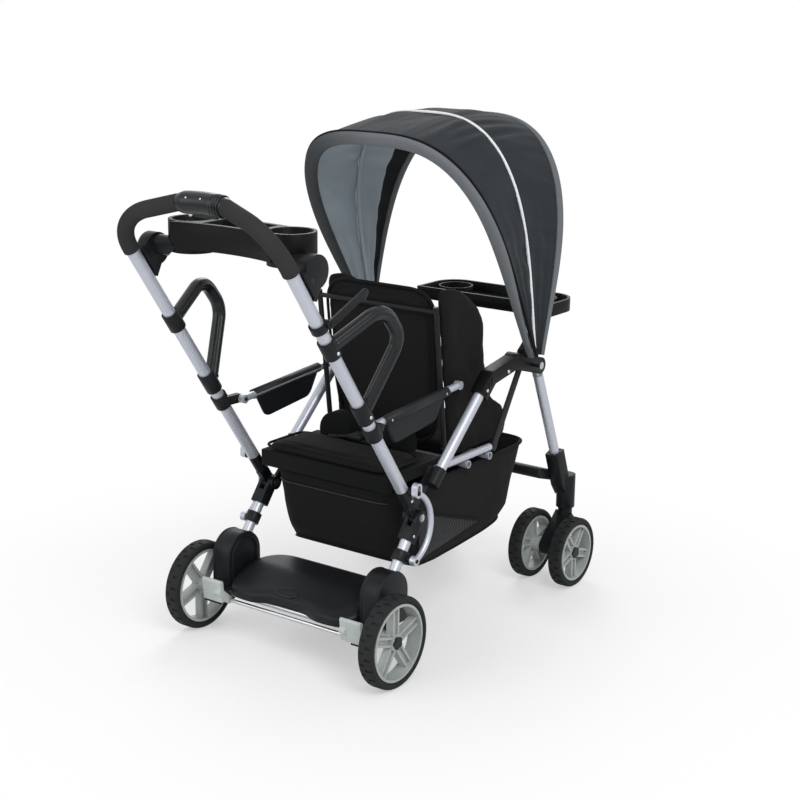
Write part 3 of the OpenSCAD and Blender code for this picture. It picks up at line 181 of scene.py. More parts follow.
class Shader:
    """The tree of a material, or of the world, under construction."""

    def __init__(self, owner: bpy.types.Material | bpy.types.World) -> None:
        """Empty the owner's tree."""
        self.owner = owner
        owner.use_nodes = True
        self.tree = owner.node_tree
        self.tree.nodes.clear()

    def node(self, kind: str, settings: dict | None = None, inputs: dict | None = None,
             output: int | str = 0) -> Socket:
        """Add any node.

        Args:
            kind: the node's type.
            settings: its settings, set first.
            inputs: values or links, by socket name or number.
            output: the output to return.

        Returns:
            That output, ready for more maths.
        """
        made = self.tree.nodes.new(kind)
        for key, value in (settings or {}).items():
            setattr(made, key, value)
        for key, value in (inputs or {}).items():
            if isinstance(value, Socket):
                self.tree.links.new(value.link, made.inputs[key])
            else:
                made.inputs[key].default_value = value
        return Socket(self, made.outputs[output] if len(made.outputs) else None)

    def coords(self, uv: bool = False) -> Socket:
        """Return Object coordinates, or the piece's own UV map."""
        return self.node("ShaderNodeTexCoord", output="UV" if uv else "Object")

    def stretched(self, coords: Socket, scale: Sequence[float]) -> Socket:
        """Return coordinates scaled along each axis."""
        return self.node("ShaderNodeMapping", {}, {"Vector": coords, "Scale": tuple(scale)})

    def noise(self, coords: Socket, scale: float, detail: float = 2.0) -> Socket:
        """Return a noise value from 0 to 1."""
        return self.node("ShaderNodeTexNoise", {}, {"Vector": coords, "Scale": scale, "Detail": detail})

    def bands(self, coords: Socket, pitch: float, axis: str) -> Socket:
        """Return soft stripes that repeat at a pitch in metres along X, Y or Z."""
        return self.node("ShaderNodeTexWave", {"wave_type": "BANDS", "bands_direction": axis},
                         {"Vector": coords, "Scale": math.pi / (10 * pitch), "Distortion": 0.0}, "Fac")

    def mix(self, share: Socket, low: Socket | tuple, high: Socket | tuple) -> Socket:
        """Return a colour between two, by share."""
        return self.node("ShaderNodeMix", {"data_type": "RGBA"}, {0: share, 6: low, 7: high}, 2)

    def surface(self, base: Socket | tuple, roughness: Socket | float, height: Socket | None = None,
                bump: float = 0.2, depth: float = 0.0005, fixed: dict | None = None) -> bpy.types.Material:
        """Close the tree with one principled surface.

        Args:
            base: the base colour.
            roughness: the roughness.
            height: a value that raises the surface through a Bump node.
            bump: how strongly it does so.
            depth: the height in metres that a value of one stands for.
            fixed: other sockets of the surface, by name.

        Returns:
            The material.
        """
        inputs = {"Base Color": base, "Roughness": roughness, **(fixed or {})}
        if height is not None:
            inputs["Normal"] = self.node("ShaderNodeBump", {},
                                         {"Strength": bump, "Distance": depth, "Height": height})
        shown = self.node("ShaderNodeBsdfPrincipled", {}, inputs)
        self.node("ShaderNodeOutputMaterial", {}, {"Surface": shown})
        return self.owner


@dataclass(frozen=True)
class Finish:
    """A finish that any number of pieces share."""

    name: str
    colour: Colour
    roughness: float = 0.5

    def paint(self, s: Shader) -> bpy.types.Material:
        """Build the material's nodes.

        Args:
            s: the material's empty tree.

        Returns:
            The material.
        """
        raise NotImplementedError

    def material(self) -> bpy.types.Material:
        """Return the material, made at its first use."""
        made = bpy.data.materials.get(self.name)
        return made or self.paint(Shader(bpy.data.materials.new(self.name)))


@dataclass(frozen=True)
class Moulded(Finish):
    """Moulded plastic with a fine spark-eroded grain and slightly uneven gloss."""

    grain: float = 900.0
    texture: float = 0.18
    spread: float = 0.16
    shine: float = 0.16

    def paint(self, s: Shader) -> bpy.types.Material:
        """Build the material's nodes."""
        place = s.coords()
        grain = s.noise(place, self.grain)
        cloud = s.noise(place, 14.0, 4.0)
        base = s.mix(cloud, linear(self.colour, 1 - self.spread), linear(self.colour, 1 + self.spread))
        rough = self.roughness - 0.09 + cloud * 0.12 + grain * 0.06
        return s.surface(base, rough, grain, self.texture, 0.0002, {"Specular IOR Level": self.shine})


@dataclass(frozen=True)
class Powder(Finish):
    """Powder-coated tube: a pale coat with a fine orange peel and metal flake."""

    metal: float = 0.55

    def paint(self, s: Shader) -> bpy.types.Material:
        """Build the material's nodes."""
        place = s.coords()
        peel = s.noise(place, 420.0, 1.0)
        flake = s.noise(place, 2600.0, 1.0)
        cloud = s.noise(place, 7.0, 3.0)
        base = s.mix(flake * 0.5 + cloud * 0.5, linear(self.colour, 0.9), linear(self.colour, 1.1))
        rough = self.roughness - 0.06 + cloud * 0.08 + flake * 0.06
        return s.surface(base, rough, peel, 0.12, 0.0002, {"Metallic": self.metal})


@dataclass(frozen=True)
class Bright(Finish):
    """Plated or bare steel, brushed and slightly dulled by handling."""

    def paint(self, s: Shader) -> bpy.types.Material:
        """Build the material's nodes."""
        place = s.coords()
        lines = s.noise(s.stretched(place, (2.0, 60.0, 60.0)), 60.0, 3.0)
        smear = s.noise(place, 30.0, 3.0)
        base = s.mix(smear, linear(self.colour, 0.86), linear(self.colour, 1.0))
        rough = self.roughness - 0.08 + lines * 0.1 + smear * 0.08
        return s.surface(base, rough, lines, 0.08, 0.0001, {"Metallic": 1.0})


@dataclass(frozen=True)
class Rubber(Finish):
    """Tyre compound: dull, with a dusty bloom in patches and fine moulding marks."""

    def paint(self, s: Shader) -> bpy.types.Material:
        """Build the material's nodes."""
        place = s.coords()
        bloom = s.noise(place, 24.0, 5.0)
        marks = s.noise(place, 700.0)
        base = s.mix(bloom, linear(self.colour, 0.75), linear(self.colour, 1.35))
        rough = self.roughness - 0.08 + bloom * 0.16
        return s.surface(base, rough, marks, 0.25, 0.0003, {"Specular IOR Level": 0.16})


@dataclass(frozen=True)
class Foam(Finish):
    """Closed-cell foam sleeve: matt, with tiny pores and faint pressed patches."""

    def paint(self, s: Shader) -> bpy.types.Material:
        """Build the material's nodes."""
        place = s.coords()
        pores = s.node("ShaderNodeTexVoronoi", {"feature": "F1"}, {"Vector": place, "Scale": 620.0})
        worn = s.noise(place, 18.0, 4.0)
        base = s.mix(worn * 0.7 + pores * 0.3, linear(self.colour, 0.82), linear(self.colour, 1.2))
        return s.surface(base, self.roughness - 0.05 + worn * 0.08, pores, 0.35, 0.0004,
                         {"Specular IOR Level": 0.1})


@dataclass(frozen=True)
class Cloth(Finish):
    """Woven cloth: warp and weft at a pitch in metres, slubs along the weft, and soft creasing, with painted
    shade that darkens the colour in the weave's hollows and along the creases.
    """

    pitch: float = 0.0016
    weave: float = 0.35
    uv: bool = False
    streak: float = 0.25
    sheen: float = 0.12
    gathers: tuple[float, float] = (9.0, 9.0)
    crumple: float = 1.5

    def paint(self, s: Shader) -> bpy.types.Material:
        """Build the material's nodes."""
        place = s.coords(self.uv)
        warp = s.bands(place, self.pitch, "X")
        weft = s.bands(place, self.pitch, "Y")
        rise = warp if self.uv else s.bands(place, self.pitch, "Z")
        threads = warp * 0.4 + weft * 0.4 + rise * 0.2
        slub = s.noise(s.stretched(place, (6.0, 260.0, 260.0)), 2.2, 3.0)
        crease = s.noise(s.stretched(place, (*self.gathers, self.gathers[1])), 1.0, 4.0)
        # Painted shade: the weave's hollows and the creases darken the colour; the slubs are the yarn's own
        # tone.
        slub_and_painted_shade = threads * 0.35 + slub * self.streak + crease * (0.65 - self.streak)
        base = self.colour_with_painted_shade(s, slub_and_painted_shade)
        height = threads * 0.5 + slub * 0.3 + crease * self.crumple
        return s.surface(base, self.roughness - 0.06 + slub * 0.12, height, self.weave, 0.0011,
                         {"Sheen Weight": self.sheen, "Sheen Roughness": 0.5, "Specular IOR Level": 0.1})

    def colour_with_painted_shade(self, s: Shader, slub_and_painted_shade: Socket) -> Socket:
        """Return the cloth's colour, darker in the weave's hollows and along the creases: painted shade."""
        return s.mix(slub_and_painted_shade, linear(self.colour, 0.62), linear(self.colour, 1.38))


@dataclass(frozen=True)
class PaintedShadeCloth(Cloth):
    """Cloth with painted shade that darkens it towards the stroller's left side."""

    # The colour of the painted shade.
    dark: Colour = (56, 59, 61)

    def colour_with_painted_shade(self, s: Shader, slub_and_painted_shade: Socket) -> Socket:
        """Return the cloth's colour, with painted shade that darkens it across the object towards the left.
        """
        across = s.node("ShaderNodeSeparateXYZ", {}, {"Vector": s.coords()}, "X")
        share = s.node("ShaderNodeMapRange", {"interpolation_type": "SMOOTHSTEP"},
                       {"Value": across, "From Min": -0.02, "From Max": 0.2})
        # Painted shade: the darker colour towards the stroller's left side.
        left = s.mix(slub_and_painted_shade, linear(self.dark, 0.62), linear(self.dark, 1.38))
        return s.mix(share, super().colour_with_painted_shade(s, slub_and_painted_shade), left)


@dataclass(frozen=True)
class Net(Finish):
    """Open net: knotted threads with see-through holes between them."""

    pitch: float = 0.0045

    def paint(self, s: Shader) -> bpy.types.Material:
        """Build the material's nodes."""
        place = s.coords(True)
        turned = s.node("ShaderNodeMapping", {}, {"Vector": place, "Rotation": (0.0, 0.0, math.radians(45))})
        one = s.bands(turned, self.pitch, "X")
        two = s.bands(turned, self.pitch, "Y")
        thread = one.join("MAXIMUM", two)
        shade = s.noise(place, 40.0, 3.0)
        base = s.mix(shade, linear(self.colour, 0.7), linear(self.colour, 1.5))
        return s.surface(base, self.roughness, thread, 0.4, 0.0006, {"Alpha": thread > 0.8})


class Finishes(Enum):
    """Every finish on the stroller."""

    TUBE = Powder("silver_powder_coat", (186, 190, 200), 0.36)
    STEEL = Bright("bright_steel", (206, 208, 212), 0.3)
    BLACK = Moulded("black_grained_moulding", (24, 26, 29), 0.4)
    GLOSS = Moulded("black_gloss_moulding", (20, 23, 26), 0.27, 500.0, 0.08, 0.16, 0.3)
    INK = Moulded("deep_black_moulding", (11, 12, 13), 0.44, 900.0, 0.12, 0.16, 0.14)
    SATIN = Moulded("grey_black_moulding", (36, 39, 40), 0.46)
    GREY = Moulded("grey_rim_moulding", (158, 164, 162), 0.46, 900.0, 0.12, 0.1, 0.4)
    PALE = Moulded("pale_pedal_moulding", (176, 184, 180), 0.48, 900.0, 0.12, 0.08, 0.4)
    RUBBER = Rubber("tyre_rubber", (34, 35, 36), 0.7)
    FOAM = Foam("grip_foam", (48, 49, 48), 0.9)
    CANOPY = Cloth("canopy_woven_cloth", (42, 47, 50), 0.82, 0.0022, 0.35, True, 0.2, 0.05, (30.0, 5.0), 14.0)
    LINING = Cloth("canopy_lining", (156, 167, 175), 0.85, 0.0026, 0.3, True, 0.2, 0.05, (12.0, 12.0), 8.0)
    SEAM = Cloth("lining_seam", (172, 180, 188), 0.85, 0.002, 0.3, True, 0.25, 0.05)
    # The hem is one grey cloth; its darker colour towards the stroller's left side is painted shade.
    HEM = PaintedShadeCloth("hem_cloth", (106, 110, 114), 0.85, 0.002, 0.3, True, 0.3, 0.05)
    EDGE = Cloth("edge_cloth", (104, 108, 112), 0.85, 0.002, 0.3, True, 0.3, 0.05)
    SEAT = Cloth("seat_cloth", (22, 21, 21), 0.86, 0.002, 0.35, False, 0.2, 0.03)
    BASKET = Cloth("basket_cloth", (22, 22, 23), 0.84, 0.0018, 0.3, True, 0.3, 0.03)
    DARK = Cloth("binding_cloth", (16, 17, 18), 0.8, 0.0016, 0.3, True, 0.2, 0.03)
    PIPING = Cloth("white_piping", (228, 230, 233), 0.6, 0.0016, 0.2, True, 0.2, 0.05)
    WEBBING = Cloth("belt_webbing", (18, 18, 19), 0.7, 0.0014, 0.5, True, 0.2, 0.03)
    NET = Net("pocket_net", (48, 50, 51), 0.7)


def finish_of(choice: Finishes) -> bpy.types.Material:
    """Return the material of a named finish."""
    return choice.value.material()


@contextmanager
def editing(mesh: bpy.types.Mesh) -> Iterator[bmesh.types.BMesh]:
    """Open a mesh for editing, and write it back at the end.

    Args:
        mesh: the mesh to change.

    Yields:
        The open mesh.
    """
    work = bmesh.new()
    work.from_mesh(mesh)
    yield work
    work.to_mesh(mesh)
    work.free()


def linked(name: str, data: bpy.types.ID) -> Object:
    """Put some data in the scene.

    Args:
        name: the new object's name.
        data: its mesh, lamp or camera.

    Returns:
        The object.
    """
    obj = bpy.data.objects.new(name, data)
    bpy.context.scene.collection.objects.link(obj)
    return obj


def piece(name: str, points: Sequence[Vector], faces: Sequence[Sequence[int]],
          outward: bool = True) -> Object:
    """Make a mesh object whose place is in its mesh.

    Args:
        name: the piece's name.
        points: its vertices, in metres in the frame.
        faces: its faces.
        outward: whether to turn the faces of this closed shape outwards.

    Returns:
        The new object, shaded smooth.
    """
    mesh = bpy.data.meshes.new(name)
    mesh.from_pydata([tuple(p) for p in points], [], [tuple(f) for f in faces])
    if outward:
        with editing(mesh) as work:
            bmesh.ops.recalc_face_normals(work, faces=work.faces)
    mesh.shade_smooth()
    return linked(name, mesh)


def settle(obj: Object) -> None:
    """Turn an object's modifiers into plain mesh.

    Args:
        obj: the object, which ends with no modifiers.
    """
    bpy.context.view_layer.update()
    graph = bpy.context.evaluated_depsgraph_get()
    mesh = bpy.data.meshes.new_from_object(obj.evaluated_get(graph))
    old = obj.data
    obj.modifiers.clear()
    obj.data = mesh
    bpy.data.meshes.remove(old)
    mesh.name = obj.name


def bevelled(obj: Object, width: float, segments: int = 2) -> Object:
    """Round a piece's edges.

    Args:
        obj: the piece.
        width: the bevel's width in metres.
        segments: how many faces cross the bevel.

    Returns:
        The same object.
    """
    modifier = obj.modifiers.new("edges", "BEVEL")
    modifier.width = width
    modifier.segments = segments
    modifier.limit_method = "ANGLE"
    modifier.angle_limit = BEVEL_ANGLE
    settle(obj)
    obj.data.shade_smooth()
    obj.data.set_sharp_from_angle(angle=SHARP_ANGLE)
    return obj


def box(name: str, low: Vector, high: Vector, width: float) -> Object:
    """Make a block with rounded edges.

    Args:
        name: the piece's name.
        low: its lowest corner, in metres in the frame.
        high: its highest corner.
        width: the edges' rounding in metres.

    Returns:
        The block.
    """
    corners = [Vector((x, y, z)) for x in (low.x, high.x) for y in (low.y, high.y)
               for z in (low.z, high.z)]
    sides = [(0, 1, 3, 2), (4, 6, 7, 5), (0, 4, 5, 1), (2, 3, 7, 6), (0, 2, 6, 4), (1, 5, 7, 3)]
    return bevelled(piece(name, corners, sides), width, 3)


def place_uv(obj: Object, values: Callable[[int], Flat]) -> None:
    """Give a mesh a UV map in metres.

    Args:
        obj: the mesh object.
        values: the UV of each vertex number.
    """
    layer = obj.data.uv_layers.new(name="cloth")
    for loop in obj.data.loops:
        layer.data[loop.index].uv = values(loop.vertex_index)


def shell(name: str, outer: list[list[Vector]], inner: list[list[Vector]], lining: bool) -> Object:
    """Make a closed sheet from two grids of points.

    Args:
        name: the piece's name.
        outer: rows of points on the outer face.
        inner: rows of points on the inner face.
        lining: whether the inner face takes the second material slot.

    Returns:
        The sheet, with a UV map in metres along its rows and across them.
    """
    rows, cols = len(outer), len(outer[0])
    layer = rows * cols
    points = [p for row in outer for p in row] + [p for row in inner for p in row]
    faces, inside = [], []
    for j in range(rows - 1):
        for i in range(cols - 1):
            a = j * cols + i
            faces.append((a, a + 1, a + cols + 1, a + cols))
            inside.append(False)
            b = a + layer
            faces.append((b, b + cols, b + cols + 1, b + 1))
            inside.append(True)
    last = (rows - 1) * cols
    rim = ([*range(cols - 1), *range(cols - 1, last, cols)]
           + [*range(last + cols - 1, last, -1), *range(last, 0, -cols)])
    for k, a in enumerate(rim):
        b = rim[(k + 1) % len(rim)]
        faces.append((a, a + layer, b + layer, b))
        inside.append(False)
    sheet = piece(name, points, faces, outward=False)
    with editing(sheet.data) as work:
        if work.calc_volume(signed=True) < 0:
            bmesh.ops.reverse_faces(work, faces=work.faces)
    if lining:
        for face, is_inside in zip(sheet.data.polygons, inside):
            face.material_index = int(is_inside)
    along = lengths(outer[rows // 2])
    across = lengths([row[cols // 2] for row in outer])
    place_uv(sheet, lambda v: (along[v % layer % cols], across[v % layer // cols]))
    return sheet


def sweep(name: str, path: Sequence[Vector], section: Sequence[Flat], side: Vector,
          share: Callable[[float], float] = lambda t: 1.0, closed: bool = False) -> Object:
    """Sweep a section along a path.

    Args:
        name: the piece's name.
        path: points along the middle of the sweep.
        section: the section's points, in metres, as (along side, across side).
        side: the direction that stays level with the section's first axis.
        share: the section's size at each share of the path's length.
        closed: whether the path meets itself.

    Returns:
        The swept piece, with a UV map in metres.
    """
    n, m = len(path), len(section)
    points: list[Vector] = []
    run = lengths(path)
    for i, p in enumerate(path):
        before = path[i - 1] if i or closed else path[i]
        after = path[(i + 1) % n] if i < n - 1 or closed else path[i]
        heading = (after - before).normalized()
        first = (side - heading * side.dot(heading)).normalized()
        second = heading.cross(first)
        size = share(run[i] / run[-1])
        points += [p + (first * a + second * b) * size for a, b in section]
    faces: list[Sequence[int]] = []
    for i in range(n if closed else n - 1):
        for k in range(m):
            a, b = i * m + k, i * m + (k + 1) % m
            c, d = (i + 1) % n * m + (k + 1) % m, (i + 1) % n * m + k
            faces.append((a, b, c, d))
    if not closed:
        faces += [tuple(range(m - 1, -1, -1)), tuple(range((n - 1) * m, n * m))]
    obj = piece(name, points, faces)
    round_it = [0.0]
    for (a, b), (c, d) in zip(section, section[1:]):
        round_it.append(round_it[-1] + math.hypot(c - a, d - b))
    place_uv(obj, lambda v: (run[v // m], round_it[v % m]))
    return obj


def oval(wide: float, tall: float, count: int = 20, square: float = 1.0) -> list[Flat]:
    """Return an oval section; a lower square share makes it boxier.

    Args:
        wide: half its width.
        tall: half its height.
        count: how many points it has.
        square: 1 for an ellipse, less for a squarer form.

    Returns:
        The section's points.
    """
    bent = lambda c: math.copysign(abs(c) ** square, c)
    return [(bent(math.cos(a)) * wide, bent(math.sin(a)) * tall) for a in circle(count)]


def rounded(corners: Sequence[Flat], radius: float, steps: int = 6) -> list[Flat]:
    """Return an outline whose corners are rounded.

    Args:
        corners: the outline's corners in order.
        radius: the radius that each corner would like, cut short on short sides.
        steps: how many points round each corner.

    Returns:
        The outline's points.
    """
    out: list[Flat] = []
    n = len(corners)
    for i in range(n):
        p, q, r = (Vector(corners[(i + k - 1) % n]) for k in range(3))
        reach = min(radius, (p - q).length * 0.45, (r - q).length * 0.45)
        a, b = q + (p - q).normalized() * reach, q + (r - q).normalized() * reach
        for k in range(steps + 1):
            t = k / steps
            spot = a * (1 - t) ** 2 + q * 2 * t * (1 - t) + b * t ** 2
            out.append((spot.x, spot.y))
    return out


def evened(outline: Sequence[Flat], count: int) -> list[Flat]:
    """Space points evenly round a closed outline.

    Args:
        outline: the outline's points.
        count: how many points to return.

    Returns:
        The even points, from the outline's first.
    """
    ring = [Vector(p) for p in outline] + [Vector(outline[0])]
    run = lengths(ring)
    out, k = [], 0
    for i in range(count):
        want = run[-1] * i / count
        while run[k + 1] < want:
            k += 1
        t = (want - run[k]) / max(run[k + 1] - run[k], 1e-9)
        spot = ring[k].lerp(ring[k + 1], t)
        out.append((spot.x, spot.y))
    return out


def cushion(name: str, outline: Sequence[Flat], spot: Callable[[float, float, float], Vector],
            thick: float, heart: Flat, edge: float, flat_under: bool = False) -> Object:
    """Make a crowned closed form on an outline.

    Args:
        name: the piece's name.
        outline: the outline, in millimetres.
        spot: turns outline millimetres and a height in millimetres into a point in the frame.
        thick: the thickness at the middle, in millimetres.
        heart: the outline point that the rings close on.
        edge: the share of the thickness left at the outline.
        flat_under: whether the underside stays flat.

    Returns:
        The cushion.
    """
    ring = evened(outline, CUSHION_POINTS)
    m, rings = CUSHION_POINTS, CUSHION_RINGS
    points: list[Vector] = []
    faces: list[Sequence[int]] = []
    for up in (1, -1):
        for i in range(rings):
            t = i / rings
            share = edge + (1 - edge) * math.sqrt(max(0.0, 1 - (1 - t) ** 3))
            high = thick / 2 * share * up
            if flat_under and up < 0:
                high = -thick / 2 * edge
            points += [spot(u + (heart[0] - u) * t, v + (heart[1] - v) * t, high) for u, v in ring]
        points.append(spot(heart[0], heart[1], thick / 2 * (up if up > 0 or not flat_under else -edge)))
    side = rings * m + 1
    for layer in (0, 1):
        base = layer * side
        for i in range(rings - 1):
            for k in range(m):
                a, b = base + i * m + k, base + i * m + (k + 1) % m
                faces.append((a, b, b + m, a + m))
        tip = base + rings * m
        faces += [(base + (rings - 1) * m + k, base + (rings - 1) * m + (k + 1) % m, tip) for k in range(m)]
    faces += [(k, (k + 1) % m, side + (k + 1) % m, side + k) for k in range(m)]
    return piece(name, points, faces)


@dataclass
class Plump:
    """Swells a pad by a short cloth simulation, then leaves plain mesh."""

    voxel: float
    pressure: float
    cap: float
    frames: int = 20
    quality: int = 4
    mass: float = 0.25
    relax: float = 0.5
    passes: int = 3

    def swell(self, obj: Object, held: Callable[[Vector], float] = lambda p: 1.0) -> None:
        """Remesh and swell a pad.

        Args:
            obj: the closed pad, a little smaller than it ends up.
            held: how far a point may move, as a share of the cap.
        """
        remesh = obj.modifiers.new("remesh", "REMESH")
        remesh.mode = "VOXEL"
        remesh.voxel_size = self.voxel
        settle(obj)
        self.simulate(obj, held)
        relax = obj.modifiers.new("relax", "SMOOTH")
        relax.factor = self.relax
        relax.iterations = self.passes
        finer = obj.modifiers.new("finer", "SUBSURF")
        finer.levels = finer.render_levels = 1
        settle(obj)
        obj.data.shade_smooth()

    def simulate(self, obj: Object, held: Callable[[Vector], float]) -> None:
        """Run the cloth for a few frames and keep the capped result.

        Args:
            obj: the remeshed pad.
            held: how far a point may move, as a share of the cap.
        """
        scene = bpy.context.scene
        rest = [v.co.copy() for v in obj.data.vertices]
        cloth = obj.modifiers.new("cloth", "CLOTH")
        cloth.settings.quality = self.quality
        cloth.settings.mass = self.mass
        cloth.settings.use_pressure = True
        cloth.settings.uniform_pressure_force = self.pressure
        cloth.settings.effector_weights.gravity = 0.0
        cloth.point_cache.frame_start = 1
        cloth.point_cache.frame_end = self.frames
        for number in range(1, self.frames + 1):
            scene.frame_set(number)
        graph = bpy.context.evaluated_depsgraph_get()
        moved = [v.co.copy() for v in obj.evaluated_get(graph).data.vertices]
        obj.modifiers.remove(cloth)
        scene.frame_set(1)
        for vertex, start, end in zip(obj.data.vertices, rest, moved):
            step = end - start
            most = self.cap * held(start)
            if step.length > most:
                step *= most / step.length
            vertex.co = start + step


class Groove:
    """Presses sewn lines into a swollen pad."""

    @staticmethod
    def press(obj: Object, lines: Sequence[Sequence[Vector]], depth: float, width: float) -> None:
        """Move the points near the lines inwards.

        Args:
            obj: the pad.
            lines: paths of points on or near the surface.
            depth: how deep the line is pressed.
            width: how wide the pressed strip is.
        """
        spots = [p for line in lines for p in line]
        tree = KDTree(len(spots))
        for i, p in enumerate(spots):
            tree.insert(p, i)
        tree.balance()
        normals = [v.normal.copy() for v in obj.data.vertices]
        for vertex, normal in zip(obj.data.vertices, normals):
            _, _, far = tree.find(vertex.co)
            if far < 3 * width:
                vertex.co -= normal * depth * math.exp(-(far / width) ** 2)


class GeometryTree:
    """A Geometry Nodes tree under construction, with named inputs."""

    def __init__(self, name: str) -> None:
        """Start a tree with a geometry input and output."""
        self.tree = bpy.data.node_groups.new(name, "GeometryNodeTree")
        self.tree.interface.new_socket("Geometry", in_out="INPUT", socket_type="NodeSocketGeometry")
        self.tree.interface.new_socket("Geometry", in_out="OUTPUT", socket_type="NodeSocketGeometry")
        self.start = self.tree.nodes.new("NodeGroupInput")
        self.names: dict[str, str] = {}

    def input(self, name: str, kind: str) -> bpy.types.NodeSocket:
        """Add a named input.

        Args:
            name: the input's name.
            kind: its socket type.

        Returns:
            Its socket inside the tree.
        """
        made = self.tree.interface.new_socket(name, in_out="INPUT", socket_type=kind)
        self.names[name] = made.identifier
        return self.start.outputs[name]

    def node(self, kind: str, settings: dict | None = None,
             inputs: dict | None = None) -> bpy.types.NodeSocket:
        """Add a node.

        Args:
            kind: the node's type.
            settings: its settings, set first.
            inputs: values or sockets, by input name.

        Returns:
            The node's first output.
        """
        made = self.tree.nodes.new(kind)
        for key, value in (settings or {}).items():
            setattr(made, key, value)
        for key, value in (inputs or {}).items():
            if isinstance(value, bpy.types.NodeSocket):
                self.tree.links.new(value, made.inputs[key])
            else:
                made.inputs[key].default_value = value
        return made.outputs[0]

    def beads(self, points: bpy.types.NodeSocket, axis: bpy.types.NodeSocket, facets: tuple[int, int],
              radius: bpy.types.NodeSocket, half: bpy.types.NodeSocket | float) -> None:
        """Put a stretched ball on each point, and end the tree.

        Args:
            points: the points.
            axis: the way that each ball faces.
            facets: the ball's segments and rings.
            radius: its radius across the axis.
            half: half its length along the axis.
        """
        turn = self.node("FunctionNodeAlignRotationToVector", {"axis": "Z"}, {"Vector": axis})
        ball = self.node("GeometryNodeMeshUVSphere", {},
                         {"Segments": facets[0], "Rings": facets[1], "Radius": 1.0})
        size = self.node("ShaderNodeCombineXYZ", {}, {"X": radius, "Y": radius, "Z": half})
        bead = self.node("GeometryNodeTransform", {}, {"Geometry": ball, "Scale": size})
        self.close(self.node("GeometryNodeInstanceOnPoints", {},
                             {"Points": points, "Instance": bead, "Rotation": turn}))

    def close(self, geometry: bpy.types.NodeSocket) -> None:
        """Realize, set the material and end the tree.

        Args:
            geometry: what the tree has made.
        """
        plain = self.node("GeometryNodeRealizeInstances", {}, {"Geometry": geometry})
        look = self.input("Material", "NodeSocketMaterial")
        dressed = self.node("GeometryNodeSetMaterial", {}, {"Geometry": plain, "Material": look})
        end = self.tree.nodes.new("NodeGroupOutput")
        self.tree.links.new(dressed, end.inputs[0])

    def apply(self, obj: Object, values: dict) -> Object:
        """Run the tree on an object and keep plain mesh.

        Args:
            obj: the object that holds the points or the path.
            values: the tree's inputs by name.

        Returns:
            The same object, as a plain mesh.
        """
        modifier = obj.modifiers.new("made", "NODES")
        modifier.node_group = self.tree
        for name, value in values.items():
            modifier[self.names[name]] = value
        settle(obj)
        obj.data.shade_smooth()
        return obj


